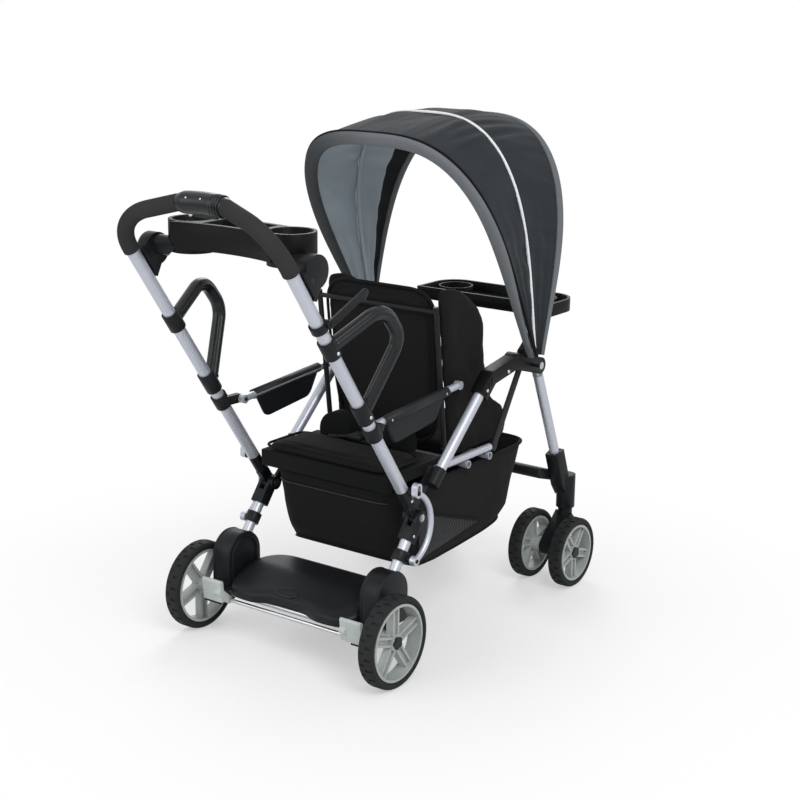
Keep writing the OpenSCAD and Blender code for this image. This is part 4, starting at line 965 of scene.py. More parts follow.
class Repeats:
    """Trees for what repeats or follows a path: rivets, piping and stitches."""

    def __init__(self) -> None:
        """Build the trees once."""
        self.rivet = self.rivet_tree()
        self.pipe = self.pipe_tree()
        self.stitch = self.stitch_tree()

    @staticmethod
    def rivet_tree() -> GeometryTree:
        """Build a tree that puts a domed head on each point, facing along its axis."""
        t = GeometryTree("rivet_heads")
        radius = t.input("Radius", "NodeSocketFloat")
        height = t.input("Height", "NodeSocketFloat")
        axis = t.node("GeometryNodeInputNamedAttribute", {"data_type": "FLOAT_VECTOR"}, {"Name": "axis"})
        t.beads(t.start.outputs[0], axis, (14, 8), radius, height)
        return t

    @staticmethod
    def pipe_tree() -> GeometryTree:
        """Build a tree that runs a round welt along a path."""
        t = GeometryTree("piping")
        radius = t.input("Radius", "NodeSocketFloat")
        path = t.node("GeometryNodeMeshToCurve", {}, {"Mesh": t.start.outputs[0]})
        ring = t.node("GeometryNodeCurvePrimitiveCircle", {}, {"Resolution": WELT_SIDES, "Radius": radius})
        t.close(t.node("GeometryNodeCurveToMesh", {},
                       {"Curve": path, "Profile Curve": ring, "Fill Caps": True}))
        return t

    @staticmethod
    def stitch_tree() -> GeometryTree:
        """Build a tree that lays short stitches along a path at a pitch."""
        t = GeometryTree("stitches")
        pitch = t.input("Pitch", "NodeSocketFloat")
        radius = t.input("Radius", "NodeSocketFloat")
        path = t.node("GeometryNodeMeshToCurve", {}, {"Mesh": t.start.outputs[0]})
        even = t.node("GeometryNodeResampleCurve", {"mode": "LENGTH"}, {"Curve": path, "Length": pitch})
        t.beads(even, t.node("GeometryNodeInputTangent"), (6, 5), radius, STITCH_HALF)
        return t

    def rivets(self, name: str, spots: Sequence[tuple[Vector, Vector]], radius: float, height: float,
               look: Finishes) -> Object:
        """Make one piece of rivet heads.

        Args:
            name: the piece's name.
            spots: each head's place and the way it faces.
            radius: the head's radius in metres.
            height: how far the head stands out, in metres.
            look: the heads' finish.

        Returns:
            The piece.
        """
        obj = piece(name, [p for p, _ in spots], [], outward=False)
        axis = obj.data.attributes.new("axis", "FLOAT_VECTOR", "POINT")
        axis.data.foreach_set("vector", [c for _, a in spots for c in a])
        return self.rivet.apply(obj, {"Radius": radius, "Height": height, "Material": finish_of(look)})

    def path(self, name: str, lines: Sequence[Sequence[Vector]], closed: bool = False) -> Object:
        """Make an object of bare edges along some paths.

        Args:
            name: the object's name.
            lines: the paths.
            closed: whether each path meets itself.

        Returns:
            The object.
        """
        mesh = bpy.data.meshes.new(name)
        points: list[tuple] = []
        edges: list[tuple[int, int]] = []
        for line in lines:
            base = len(points)
            points += [tuple(p) for p in line]
            edges += [(base + i, base + i + 1) for i in range(len(line) - 1)]
            if closed:
                edges.append((base + len(line) - 1, base))
        mesh.from_pydata(points, edges, [])
        return linked(name, mesh)

    @staticmethod
    def trim_uv(obj: Object) -> Object:
        """Give thin trim a UV map in metres from its place, and return it."""
        spots = [v.co for v in obj.data.vertices]
        place_uv(obj, lambda v: (spots[v].x + spots[v].y, spots[v].z))
        return obj

    def welt(self, name: str, lines: Sequence[Sequence[Vector]], radius: float, look: Finishes,
             closed: bool = False) -> Object:
        """Make round piping along some paths, with a UV map.

        Args:
            name: the piece's name.
            lines: the paths.
            radius: the piping's radius in metres.
            look: its finish.
            closed: whether each path meets itself.

        Returns:
            The piece.
        """
        values = {"Radius": radius, "Material": finish_of(look)}
        return self.trim_uv(self.pipe.apply(self.path(name, lines, closed), values))

    def stitches(self, name: str, lines: Sequence[Sequence[Vector]], look: Finishes) -> Object:
        """Make a row of stitches along some paths, with a UV map.

        Args:
            name: the piece's name.
            lines: the paths.
            look: the thread's finish.

        Returns:
            The piece.
        """
        values = {"Pitch": STITCH_PITCH, "Radius": STITCH_RADIUS, "Material": finish_of(look)}
        return self.trim_uv(self.stitch.apply(self.path(name, lines), values))


REPEATS = Repeats()


def dress(obj: Object, *looks: Finishes) -> Object:
    """Add finishes to a piece.

    Args:
        obj: the piece.
        looks: its finishes, one for each material slot.

    Returns:
        The piece.
    """
    for look in looks:
        obj.data.materials.append(finish_of(look))
    return obj


def carried(obj: Object, body: str, slot: str, *nodes: str) -> None:
    """Make a finished piece ride on a body, and stand for CAD nodes where it does.

    Args:
        obj: the piece.
        body: the body that carries it.
        slot: the record's material slot; not used.
        nodes: CAD nodes that it stands for.
    """
    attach(obj, body)
    if nodes:
        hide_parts(*nodes)
    LOG.info("%s rides on %s", obj.name, body)


class Frame2D:
    """Lines of the folding frame, seen from the side as (behind the datum, above the floor)."""

    knuckle: Flat = (248.0, 290.0)
    handle_lean: float = math.radians(34.9)
    side_lean: float = math.radians(47.1)
    leg_lean: float = math.radians(37.5)

    @classmethod
    def on_handle(cls, s: float, u: float = 0.0) -> Flat:
        """Return the point s up the handle from the knuckle and u ahead of it."""
        a = cls.handle_lean
        return (cls.knuckle[0] + s * math.sin(a) - u * math.cos(a),
                cls.knuckle[1] + s * math.cos(a) + u * math.sin(a))

    @classmethod
    def on_side(cls, s: float) -> Flat:
        """Return the point s up the side tube from the knuckle."""
        a = cls.side_lean
        return cls.knuckle[0] - s * math.sin(a), cls.knuckle[1] + s * math.cos(a)

    @classmethod
    def on_leg(cls, s: float) -> Flat:
        """Return the point s down the rear leg from the knuckle."""
        a = cls.leg_lean
        return cls.knuckle[0] + s * math.sin(a), cls.knuckle[1] - s * math.cos(a)


@dataclass
class Bow:
    """One canopy bow, as the construction gives it."""

    angle: float
    half: float
    reach: float
    square: float
    bulge: float
    pivot: Flat = (-150.0, 525.0)

    def between(self, other: "Bow", share: float) -> "Bow":
        """Find a bow on the way to another.

        Args:
            other: the bow at a share of 1.
            share: how far along the way it lies.

        Returns:
            The bow between the two.
        """
        pick = lambda a, b: a + (b - a) * share
        return Bow(pick(self.angle, other.angle), pick(self.half, other.half),
                   pick(self.reach, other.reach), pick(self.square, other.square),
                   pick(self.bulge, other.bulge))

    def foot(self, out: float, height: float) -> float:
        """Return the turn at which the arch stands a height above its pivot."""
        return math.asin((height / (self.reach + out)) ** (1 / self.square))

    def point(self, out: float, turn: float) -> Vector:
        """Find a point of the arch.

        Args:
            out: how far it is lifted outwards.
            turn: its place over the arch, from 0 to pi.

        Returns:
            The point in the frame.
        """
        c, rise = math.cos(turn), abs(math.sin(turn)) ** self.square
        r = (self.reach + out) * rise
        half = self.half + out + self.bulge * math.sin(math.pi / 2 * rise) ** 2
        a = math.radians(self.angle)
        return at(-half * math.copysign(abs(c) ** self.square, c), self.pivot[0] - r * math.sin(a),
                  self.pivot[1] + r * math.cos(a))

    def arch(self, out: float, height: float, count: int) -> list[Vector]:
        """Return points over the whole arch, from one foot to the other."""
        start = self.foot(out, height)
        return [self.point(out, start + (math.pi - 2 * start) * i / count) for i in range(count + 1)]

    def level(self) -> Vector:
        """Return the direction square to the bow's plane."""
        a = math.radians(self.angle)
        return Vector((0, math.cos(a), math.sin(a)))


@dataclass
class Canopy:
    """The hood: two panels of one cloth over three bows, with hems and piping.

    Sizes are in millimetres, and the radii of welts and piping in metres. A hem is given as half
    its size along the sheet, half its size towards the pivot, and how far it lies inside the bow.
    """

    rear: Bow = field(default_factory=lambda: Bow(-31.6, 215.5, 575.0, 0.61, 42.0))
    mid: Bow = field(default_factory=lambda: Bow(-12.0, 209.5, 531.0, 0.66, 26.0))
    front: Bow = field(default_factory=lambda: Bow(13.0, 221.5, 514.0, 0.76, 30.0))
    lift: float = 5.1
    cloth: float = 1.6
    sag: float = 5.0
    foot: float = 24.0
    pleat: float = 2.6
    pleats: int = 6
    pleat_fade: float = 1.6
    ripple: float = 12.0
    ripple_floor: float = 0.25
    ripple_grain: Flat = (42.0, 1.2)
    lined: float = 0.62
    blend_share: float = 0.42
    rear_hem: tuple[float, float, float] = (8.0, 15.0, 12.0)
    front_hem: tuple[float, float, float] = (11.0, 5.0, 0.0)
    hem_slim: float = 0.52
    hem_ease: float = 4.2
    welt_out: float = 1.5
    welt_back: float = 0.004
    welt_radius: float = 0.0032
    piping_out: float = 0.6
    piping_radius: float = 0.0033
    seam_in: float = 3.5
    seam_foot: float = 60.0
    seam_radius: float = 0.0042
    rings: int = 168
    strips: int = 28

    def spot(self, first: Bow, second: Bow, u: float, v: float, drop: float) -> Vector:
        """Return a point of the cloth between two bows.

        Args:
            first: the bow at the rear.
            second: the bow at the front.
            u: the share of the way over the arch.
            v: the share of the way from the first bow to the second.
            drop: how far the point lies inside the outer face.

        Returns:
            The point in the frame.
        """
        bow = first.between(second, v)
        start = bow.foot(self.lift, self.foot)
        turn = start + (math.pi - 2 * start) * u
        rise, slack = abs(math.sin(turn)), math.sin(math.pi * v)
        low = max(0.0, 1 - rise * self.pleat_fade)
        pleat = self.pleat * low * math.sin(v * math.pi * self.pleats) * slack
        near = v if second is self.mid else 1 - v
        near_share = self.ripple_floor + (1 - self.ripple_floor) * near ** 2
        grain = noise.noise(Vector((u * self.ripple_grain[0], v * self.ripple_grain[1], first.angle)))
        ripple = self.ripple * slack ** 0.5 * near_share * grain
        return bow.point(self.lift - drop - self.sag * slack * rise + pleat + ripple, turn)

    def panel(self, name: str, first: Bow, second: Bow) -> Object:
        """Build the cloth between two bows.

        Args:
            name: the piece's name.
            first: the bow at the rear.
            second: the bow at the front.

        Returns:
            The panel, its outer face in slot 0 and its lining in slot 1.
        """
        outer, inner = ([[self.spot(first, second, i / self.rings, j / self.strips, drop)
                          for i in range(self.rings + 1)] for j in range(self.strips + 1)]
                        for drop in (0.0, self.cloth))
        return shell(name, outer, inner, True)

    def taper(self, t: float) -> float:
        """Return a hem's size at a share of its arch, slimmer at the feet."""
        return self.hem_slim + (1 - self.hem_slim) * smooth(min(t, 1 - t) * self.hem_ease)

    def hem(self, name: str, bow: Bow, size: tuple[float, float, float]) -> Object:
        """Sweep a rolled hem along a bow.

        Args:
            name: the piece's name.
            bow: the bow that it wraps.
            size: half its size along the sheet and towards the pivot, and its place inside the bow.

        Returns:
            The hem.
        """
        wide, deep, sink = size
        return sweep(name, bow.arch(self.lift - sink, self.foot, 96), oval(wide * MM, deep * MM, 20, 0.8),
                     bow.level(), self.taper)

    def line(self, obj: Object) -> None:
        """Carry the pale lining a part of the way over the inside of the front panel.

        Args:
            obj: the front panel.
        """
        hub = at(0, *self.mid.pivot)
        limit = self.mid.angle + (self.front.angle - self.mid.angle) * self.lined
        for face in obj.data.polygons:
            way = face.center - hub
            if face.material_index == 1 and math.degrees(math.atan2(-way.y, way.z)) < limit:
                face.material_index = 2

    def hang(self, obj: Object, bodies: tuple[str, str], bows: tuple[Bow, Bow], node: str) -> None:
        """Stand a panel in for its CAD node, then free it from its body and keep its place in the frame.

        Args:
            obj: the panel.
            bodies: the bodies of its rear and front bows; only the first is used, while the panel is placed.
            bows: the bows at those edges.
            node: the CAD node that it stands for.
        """
        half = math.radians((bows[1].angle - bows[0].angle) / 2)
        way = math.radians((bows[1].angle + bows[0].angle) / 2)
        hub = at(0, *bows[0].pivot)
        carried(obj, bodies[0], "canopy_cloth", node)
        obj.parent = None
        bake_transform(obj)

    def build(self) -> None:
        """Make the panels, hems, piping and lining, and hang the hems, welt, piping and seam on the bows."""
        rear = dress(self.panel("canopy_rear_panel", self.rear, self.mid), Finishes.CANOPY, Finishes.LINING)
        front = self.panel("canopy_front_panel", self.mid, self.front)
        self.line(front)
        dress(front, Finishes.CANOPY, Finishes.DARK, Finishes.LINING)
        self.hang(rear, ("canopy_rear", "canopy_mid"), (self.rear, self.mid), "canopy_panel_rear")
        self.hang(front, ("canopy_mid", "canopy_front"), (self.mid, self.front), "canopy_panel_front")
        for name, bow, size, look in (("rear", self.rear, self.rear_hem, Finishes.HEM),
                                      ("front", self.front, self.front_hem, Finishes.EDGE)):
            hem = dress(self.hem(f"canopy_{name}_hem", bow, size), look)
            carried(hem, f"canopy_{name}", "canopy_cloth", f"canopy_bow_{name}")
        back = self.rear.level() * -self.welt_back
        edge = [p + back for p in self.rear.arch(self.lift + self.welt_out, self.foot, 96)]
        welt = REPEATS.welt("canopy_rear_welt", [edge], self.welt_radius, Finishes.DARK)
        carried(welt, "canopy_rear", "canopy_cloth")
        line = self.mid.arch(self.lift + self.piping_out, self.foot, 110)
        piping = REPEATS.welt("canopy_white_piping", [line], self.piping_radius, Finishes.PIPING)
        carried(piping, "canopy_mid", "canopy_cloth", "canopy_bow_mid")
        casing = self.mid.arch(self.lift - self.cloth - self.seam_in, self.seam_foot, 90)
        seam = REPEATS.welt("canopy_lining_seam", [casing], self.seam_radius, Finishes.SEAM)
        carried(seam, "canopy_mid", "canopy_cloth")


@dataclass
class Backrest:
    """The reclining back between the two seats: a padded panel with piping and belt slots.

    A slot is given as its place across, its place up the panel and half its length. Sizes are in
    millimetres, and those of seams and piping in metres.
    """

    pivot: Flat = (70.0, 362.0)
    lean: float = math.radians(7.1)
    low: float = 22.0
    top: float = 358.0
    low_half: float = 120.0
    half: float = 139.0
    thick: float = 21.0
    corner: float = 62.0
    heart: Flat = (0.0, 200.0)
    seam_inset: float = 15.0
    seam_depth: float = 0.003
    seam_width: float = 0.004
    stitch_inset: float = 20.0
    stitch_out: float = 0.2
    piping_share: float = 0.62
    piping_radius: float = 0.0032
    slots: tuple[tuple[float, float, float], ...] = ((0, 296, 54), (-56, 262, 17), (56, 262, 17),
                                                     (-56, 257, 17), (56, 257, 17))
    slot_bend: float = 3.0
    slot_out: float = 0.8
    slot_radius: float = 0.0017

    def spot(self, x: float, s: float, h: float) -> Vector:
        """Return the point x across, s up the panel and h behind its middle."""
        a = self.lean
        return at(x, self.pivot[0] + s * math.sin(a) + h * math.cos(a),
                  self.pivot[1] + s * math.cos(a) - h * math.sin(a))

    def outline(self, inset: float = 0.0) -> list[Flat]:
        """Return the panel's outline, drawn in by inset."""
        waist, wide = (self.low + self.top) / 2, self.half - inset
        low_half, low, top = self.low_half - inset, self.low + inset, self.top - inset
        return rounded([(-low_half, low), (low_half, low), (wide, waist), (wide, top), (-wide, top),
                        (-wide, waist)], self.corner, 10)

    def around(self, inset: float, high: float) -> list[Vector]:
        """Return even points round the panel, drawn in by inset and a height behind its middle."""
        return [self.spot(x, s, high) for x, s in evened(self.outline(inset), 160)]

    def build(self) -> None:
        """Make the panel, its piping, and the slots for a belt."""
        pad = cushion("backrest_pad", self.outline(), self.spot, self.thick, self.heart, edge=0.5)
        Plump(voxel=0.006, pressure=3.0, cap=0.004).swell(pad)
        face = self.thick / 2
        Groove.press(pad, [self.around(self.seam_inset, h) for h in (face, -face)], self.seam_depth,
                     self.seam_width)
        carried(dress(pad, Finishes.SEAT), "backrest", "black_cloth", "backrest_panel")
        edge = self.around(1.0, face * self.piping_share)
        welt = REPEATS.welt("backrest_piping", [edge], self.piping_radius, Finishes.DARK, True)
        carried(welt, "backrest", "black_cloth")
        edges = [[self.spot(x + half * t, s + self.slot_bend * abs(t), face + self.slot_out)
                  for t in (-1, -0.5, 0, 0.5, 1)] for x, s, half in self.slots]
        trim = REPEATS.welt("backrest_slot_edges", edges, self.slot_radius, Finishes.SEAM)
        carried(trim, "backrest", "black_cloth")
        row = [self.around(self.stitch_inset, face + self.stitch_out)]
        carried(REPEATS.stitches("backrest_stitches", row, Finishes.DARK), "backrest", "black_cloth")


@dataclass
class FrontSeat:
    """The front child's seat: a pan pad and a side wing on each side, drawn from the side."""

    half: float = 134.0
    pan: tuple[Flat, ...] = ((-150.0, 355.0), (50.0, 355.0), (50.0, 376.0), (-126.0, 398.0), (-150.0, 396.0))
    pan_corner: float = 9.0
    pan_heart: Flat = (-50.0, 376.0)
    pan_slim: float = 4.0
    wing: tuple[Flat, ...] = ((66.0, 356.0), (-148.0, 356.0), (-148.0, 420.0), (-80.0, 466.0), (-58.0, 560.0),
                              (-53.0, 640.0), (-14.0, 680.0), (40.0, 714.0), (113.0, 722.0))
    wing_corner: float = 26.0
    wing_heart: Flat = (0.0, 500.0)
    wing_thick: float = 17.0
    wing_slim: float = 2.0
    wing_inset: float = 2.2
    fold_depth: float = 0.003

    def build(self) -> None:
        """Make the pan and the wings."""
        pan = cushion("front_seat_pan", rounded(self.pan, self.pan_corner, 4), lambda y, z, h: at(h, y, z),
                      2 * self.half - self.pan_slim, self.pan_heart, edge=0.97)
        Plump(voxel=0.006, pressure=3.0, cap=0.004).swell(pan)
        carried(dress(pan, Finishes.SEAT), "seat_frame", "black_cloth", "front_seat")
        for side, name in SIDES:
            mid = side * (self.half + self.wing_thick / 2 - self.wing_inset)
            wing = cushion(f"front_seat_wing_{name}", rounded(self.wing, self.wing_corner, 6),
                           lambda y, z, h, mid=mid: at(mid + h, y, z), self.wing_thick - self.wing_slim,
                           self.wing_heart, edge=0.92)
            Plump(voxel=0.006, pressure=4.0, cap=0.004).swell(wing)
            self.crumple(wing, side)
            carried(dress(wing, Finishes.SEAT), "seat_frame", "black_cloth")

    def crumple(self, obj: Object, side: int) -> None:
        """Lay soft folds across a wing.

        Args:
            obj: the wing.
            side: -1 for the right wing, 1 for the left.
        """
        for vertex in obj.data.vertices:
            p = vertex.co
            fold = noise.noise(Vector((p.y * 14 + p.z * 9, p.z * 22 - p.y * 12, side * 3.0)))
            vertex.co.x -= side * self.fold_depth * abs(fold)


@dataclass
class Bench:
    """The rear bench: a thin piped pad on a moulded base, with a lap belt.

    Sizes are in millimetres, and those of seams and piping in metres.
    """

    half: float = 155.0
    front: float = 178.0
    back: float = 302.0
    base: float = 378.4
    thick: float = 22.0
    corner: float = 26.0
    seam_corner: float = 20.0
    seam_inset: float = 22.0
    seam_shares: Flat = (0.86, 0.66)
    seam_depth: float = 0.0022
    seam_width: float = 0.004
    piping_radius: float = 0.0028
    belt_half: int = 70
    belt_y: float = 196.0
    belt_lift: float = 3.5
    buckle_half: float = 17.0
    buckle_front: float = 168.0
    buckle_back: float = 204.0
    buckle_low: float = 3.0
    buckle_high: float = 15.0
    button_inset: float = 8.0

    def corners(self) -> list[Flat]:
        """Return the pad's corners in plan."""
        return [(-self.half, self.front), (self.half, self.front), (self.half, self.back),
                (-self.half, self.back)]

    def spot(self, x: float, y: float, h: float) -> Vector:
        """Return the point x across, y behind the datum and h above the pad's middle."""
        return at(x, y, self.base + self.thick * 0.28 + h)

    def build(self) -> None:
        """Make the pad, its piping and stitches, and the belt with its buckle."""
        corners = self.corners()
        outline = rounded(corners, self.corner, 8)
        pad = cushion("bench_cushion", outline, self.spot, self.thick - 2, (0, (self.front + self.back) / 2),
                      edge=0.45, flat_under=True)
        free = (self.base + 4) * MM
        Plump(voxel=0.005, pressure=4.0, cap=0.005).swell(pad, lambda p: 1.0 if p.z > free else 0.05)
        wide, long = self.seam_shares
        ring = [(x * wide, self.front + self.seam_inset + (y - self.front) * long) for x, y in corners]
        inner = evened(rounded(ring, self.seam_corner, 8), 160)
        Groove.press(pad, [[self.spot(x, y, self.thick * 0.5) for x, y in inner]], self.seam_depth,
                     self.seam_width)
        low = self.base * MM
        for vertex in pad.data.vertices:
            vertex.co.z = max(vertex.co.z, low)
        carried(dress(pad, Finishes.SEAT), "seat_frame", "black_cloth", "bench_pad")
        edge = [self.spot(x, y, self.thick * 0.18) for x, y in evened(outline, 160)]
        piping = REPEATS.welt("bench_piping", [edge], self.piping_radius, Finishes.DARK, True)
        carried(piping, "seat_frame", "black_cloth")
        row = [[self.spot(x, y, self.thick * 0.52) for x, y in inner]]
        carried(REPEATS.stitches("bench_stitches", row, Finishes.DARK), "seat_frame", "black_cloth")
        self.belt()

    def belt(self) -> None:
        """Lay a lap belt over the pad, with a buckle at its middle."""
        top = self.base + self.thick * 0.9
        path = [at(x, self.belt_y - 14 * math.cos(x / 40), top + self.belt_lift + 2 * math.cos(x / 24))
                for x in range(-self.belt_half, self.belt_half + 1, 5)]
        strap = sweep("bench_belt", path, oval(0.011, 0.0009, 12, 0.5), Vector((0, 1, 0)))
        carried(dress(strap, Finishes.WEBBING), "seat_frame", "black_cloth")
        half, front, back = self.buckle_half, self.buckle_front, self.buckle_back
        low, high, inset = top + self.buckle_low, top + self.buckle_high, self.button_inset
        buckle = box("bench_buckle", at(-half, front, low), at(half, back, high), 0.004)
        carried(dress(buckle, Finishes.BLACK), "seat_frame", "black_moulding")
        press = box("bench_buckle_button", at(inset - half, front + inset, high - 2),
                    at(half - inset, back - inset, high + 1.5), 0.002)
        carried(dress(press, Finishes.SATIN), "seat_frame", "black_moulding")


@dataclass
class Basket:
    """The storage basket: one sagging cloth shell with a welted rim and a net pocket.

    Each end is given as a height and where the front and rear walls stand there. Sizes are in
    millimetres, and the radii of welts in metres.
    """

    half: float = 161.0
    top: float = 336.0
    wall_foot: float = 172.0
    ends: tuple[tuple[float, float, float], ...] = ((336.0, -226.0, 282.0), (291.0, -205.0, 275.0),
                                                    (227.0, -181.0, 260.0), (196.0, -176.0, 250.0),
                                                    (178.0, -150.0, 240.0))
    under: tuple[Flat, ...] = ((-150.0, 181.0), (-30.0, 167.0), (120.0, 158.0), (191.0, 160.0),
                               (240.0, 178.0))
    corner_power: float = 0.24
    tuck: float = 0.05
    slack: float = 1.5
    crease: float = 2.6
    floor_crease: float = 1.5
    cloth: float = 2.2
    merge: float = 0.0004
    rim_radius: float = 0.0036
    strip_radius: float = 0.0022
    foot_radius: float = 0.0021
    pocket_rear: float = 196.0
    pocket_long: float = 222.0
    pocket_top: float = 278.0
    pocket_fall: float = 76.0
    pocket_low: float = 170.0
    pocket_out: float = 1.2
    elastic_radius: float = 0.002
    keep: float = 0.13

    def bottom(self, y: float) -> float:
        """Find the basket's underside.

        Args:
            y: the distance behind the datum.

        Returns:
            Its height there.
        """
        for (a, p), (b, q) in zip(self.under, self.under[1:]):
            if y <= b:
                return p + (q - p) * (max(y, a) - a) / (b - a)
        return self.under[-1][1]

    def end(self, z: float, which: int) -> float:
        """Find where an end wall stands.

        Args:
            z: the height.
            which: 1 for the front wall, 2 for the rear.

        Returns:
            The wall's distance behind the datum.
        """
        for p, q in zip(self.ends, self.ends[1:]):
            if z >= q[0]:
                t = (p[0] - z) / (p[0] - q[0])
                return p[which] + (q[which] - p[which]) * t
        return self.ends[-1][which]

    def skin(self, depth: float, turn: float, inset: float) -> Vector:
        """Return a point of the shell.

        Args:
            depth: 0 at the rim, 1 at the foot of the wall, 2 at the middle of the floor.
            turn: the direction in plan, in radians.
            inset: how far the point lies inside the outer face, in millimetres.

        Returns:
            The point in the frame.
        """
        px, py = (math.copysign(abs(c) ** self.corner_power, c) for c in (math.cos(turn), math.sin(turn)))
        wall = min(depth, 1.0)
        z = self.top + (self.wall_foot - self.top) * wall
        front, rear = self.end(z, 1), self.end(z, 2)
        mid, long = (front + rear) / 2, (rear - front) / 2
        tuck = 1 - self.tuck * wall ** 6
        inner = 1.0 - max(0.0, depth - 1.0)
        x = px * (self.half - inset) * tuck * inner
        y = mid + py * (long - inset) * tuck * inner
        floor = self.bottom(y)
        z = self.top + (floor - self.top) * wall + (inset if depth > 0.98 else 0.0)
        slack = math.sin(math.pi * wall) if depth <= 1 else 0.0
        crease = noise.noise(Vector((x * 0.016, y * 0.016, z * 0.024))) + 0.6 * noise.noise(
            Vector((x * 0.034 + y * 0.02, y * 0.034, z * 0.012)))
        shift = -self.slack * slack + self.crease * slack * crease
        if depth > 1:
            z += self.floor_crease * crease * (2 - depth)
        return at(x + shift * px * abs(px) ** 3, y + shift * py * abs(py) ** 3, z)

    def build(self) -> None:
        """Make the shell, rim, strips and pocket."""
        turns = [2 * math.pi * k / 150 for k in range(151)]
        depths = [i / 26 for i in range(27)] + [1 + 0.08 * k for k in range(1, 12)] + [1.97]
        outer, inner = ([[self.skin(d, t, inset) for t in turns] for d in depths]
                        for inset in (0.0, self.cloth))
        body = shell("basket_cloth_shell", outer, inner, False)
        with editing(body.data) as work:
            bmesh.ops.remove_doubles(work, verts=work.verts, dist=self.merge)
        self.hang(dress(body, Finishes.BASKET), "basket")
        rim = [self.skin(0.012, t, -0.5) for t in turns[:-1]]
        self.hang(REPEATS.welt("basket_rim_welt", [rim], self.rim_radius, Finishes.DARK, True))
        shine = [self.skin(0.16, t, -1.2) for t in turns if 1.0 < t < 2.15]
        self.hang(REPEATS.welt("basket_rear_strip", [shine], self.strip_radius, Finishes.GLOSS))
        foot = [self.skin(0.985, t, -0.8) for t in turns[:-1]]
        self.hang(REPEATS.welt("basket_bottom_piping", [foot], self.foot_radius, Finishes.DARK, True))
        self.pocket()

    def hang(self, obj: Object, *nodes: str) -> None:
        """Carry a piece of the basket on the seat frame, with a mesh of its own."""
        carried(obj, "seat_frame", "black_cloth", *nodes)
        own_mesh(obj)

    def pocket_spot(self, side: int, u: float, v: float) -> Vector:
        """Find a point of the pocket.

        Args:
            side: -1 for the right pocket, 1 for the left.
            u: the share of the way along its top edge.
            v: the share of the way down.

        Returns:
            The point in the frame.
        """
        y = self.pocket_rear - self.pocket_long * u * (1 - 0.93 * v)
        high = self.pocket_top - self.pocket_fall * u
        z = high + (self.pocket_low - high) * v + 8 * u * v
        return at(side * (self.half + self.pocket_out + self.pocket_out * math.sin(math.pi * u)), y, z)

    def pocket(self) -> None:
        """Make the net pocket low on each side, with an elastic edge."""
        rows, cols = 10, 16
        for side, name in SIDES:
            grid = [[self.pocket_spot(side, i / cols, j / rows) for i in range(cols + 1)]
                    for j in range(rows + 1)]
            thin = [[p - Vector((side * 0.0008, 0, 0)) for p in row] for row in grid]
            net = shell(f"basket_net_pocket_{name}", grid, thin, False)
            self.hang(dress(net, Finishes.NET))
            elastic = f"basket_pocket_elastic_{name}"
            self.hang(REPEATS.welt(elastic, [grid[0]], self.elastic_radius, Finishes.DARK))


@dataclass
class GrabHandle:
    """A looped grab handle on each push tube, with two grooves along the grip."""

    half: float = 190.0
    start: float = 9.0
    splay: float = 33.0
    top: Flat = (131.0, 460.0)
    tip: Flat = (136.0, 376.0)
    high: float = 476.5
    low: float = 307.0
    turn: float = 42.0
    radius: float = 13.4
    groove: float = 1.5
    groove_turn: float = 0.55
    groove_width: float = 0.16
    arc_steps: int = 16
    step: float = 6.0

    def path(self, side: int) -> list[Vector]:
        """Draw the loop's middle line.

        Args:
            side: -1 for the right loop, 1 for the left.

        Returns:
            Its points in the frame.
        """
        corners = [(self.start, self.high), self.top, self.tip, (self.start, self.low)]
        flat: list[Vector] = [Vector(corners[0])]
        for i in (1, 2):
            p, q, r = (Vector(corners[i + k]) for k in (-1, 0, 1))
            half = (p - q).angle(r - q) / 2
            reach = self.turn / math.tan(half)
            a, b = q + (p - q).normalized() * reach, q + (r - q).normalized() * reach
            hub = q + ((a + b) / 2 - q).normalized() * self.turn / math.sin(half)
            for k in range(self.arc_steps + 1):
                way = (a - hub).normalized().slerp((b - hub).normalized(), k / self.arc_steps)
                flat.append(hub + way * self.turn)
        flat.append(Vector(corners[3]))
        fine: list[Vector] = []
        for p, q in zip(flat, flat[1:]):
            count = max(1, int((q - p).length / self.step))
            fine += [p.lerp(q, k / count) for k in range(count)]
        fine.append(flat[-1])
        return [at(side * (self.half + self.splay * p.x / self.tip[0]), *Frame2D.on_handle(p.y, p.x))
                for p in fine]

    def section(self) -> list[Flat]:
        """Return a round section with shallow grooves on the outer and inner face."""
        g = self.groove_turn
        out = []
        for a in circle(36):
            cut = sum(math.exp(-((a - way) / self.groove_width) ** 2)
                      for way in (g, 2 * math.pi - g, math.pi - g, math.pi + g))
            r = (self.radius - self.groove * cut) * MM
            out.append((r * math.cos(a), r * math.sin(a)))
        return out

    def build(self) -> None:
        """Make both loops."""
        for side, name in SIDES:
            loop = sweep(f"grab_loop_{name}", self.path(side), self.section(), ACROSS)
            nodes = ("grab_handles",) if side < 0 else ()
            carried(dress(loop, Finishes.GLOSS), "push_handle", "black_moulding", *nodes)


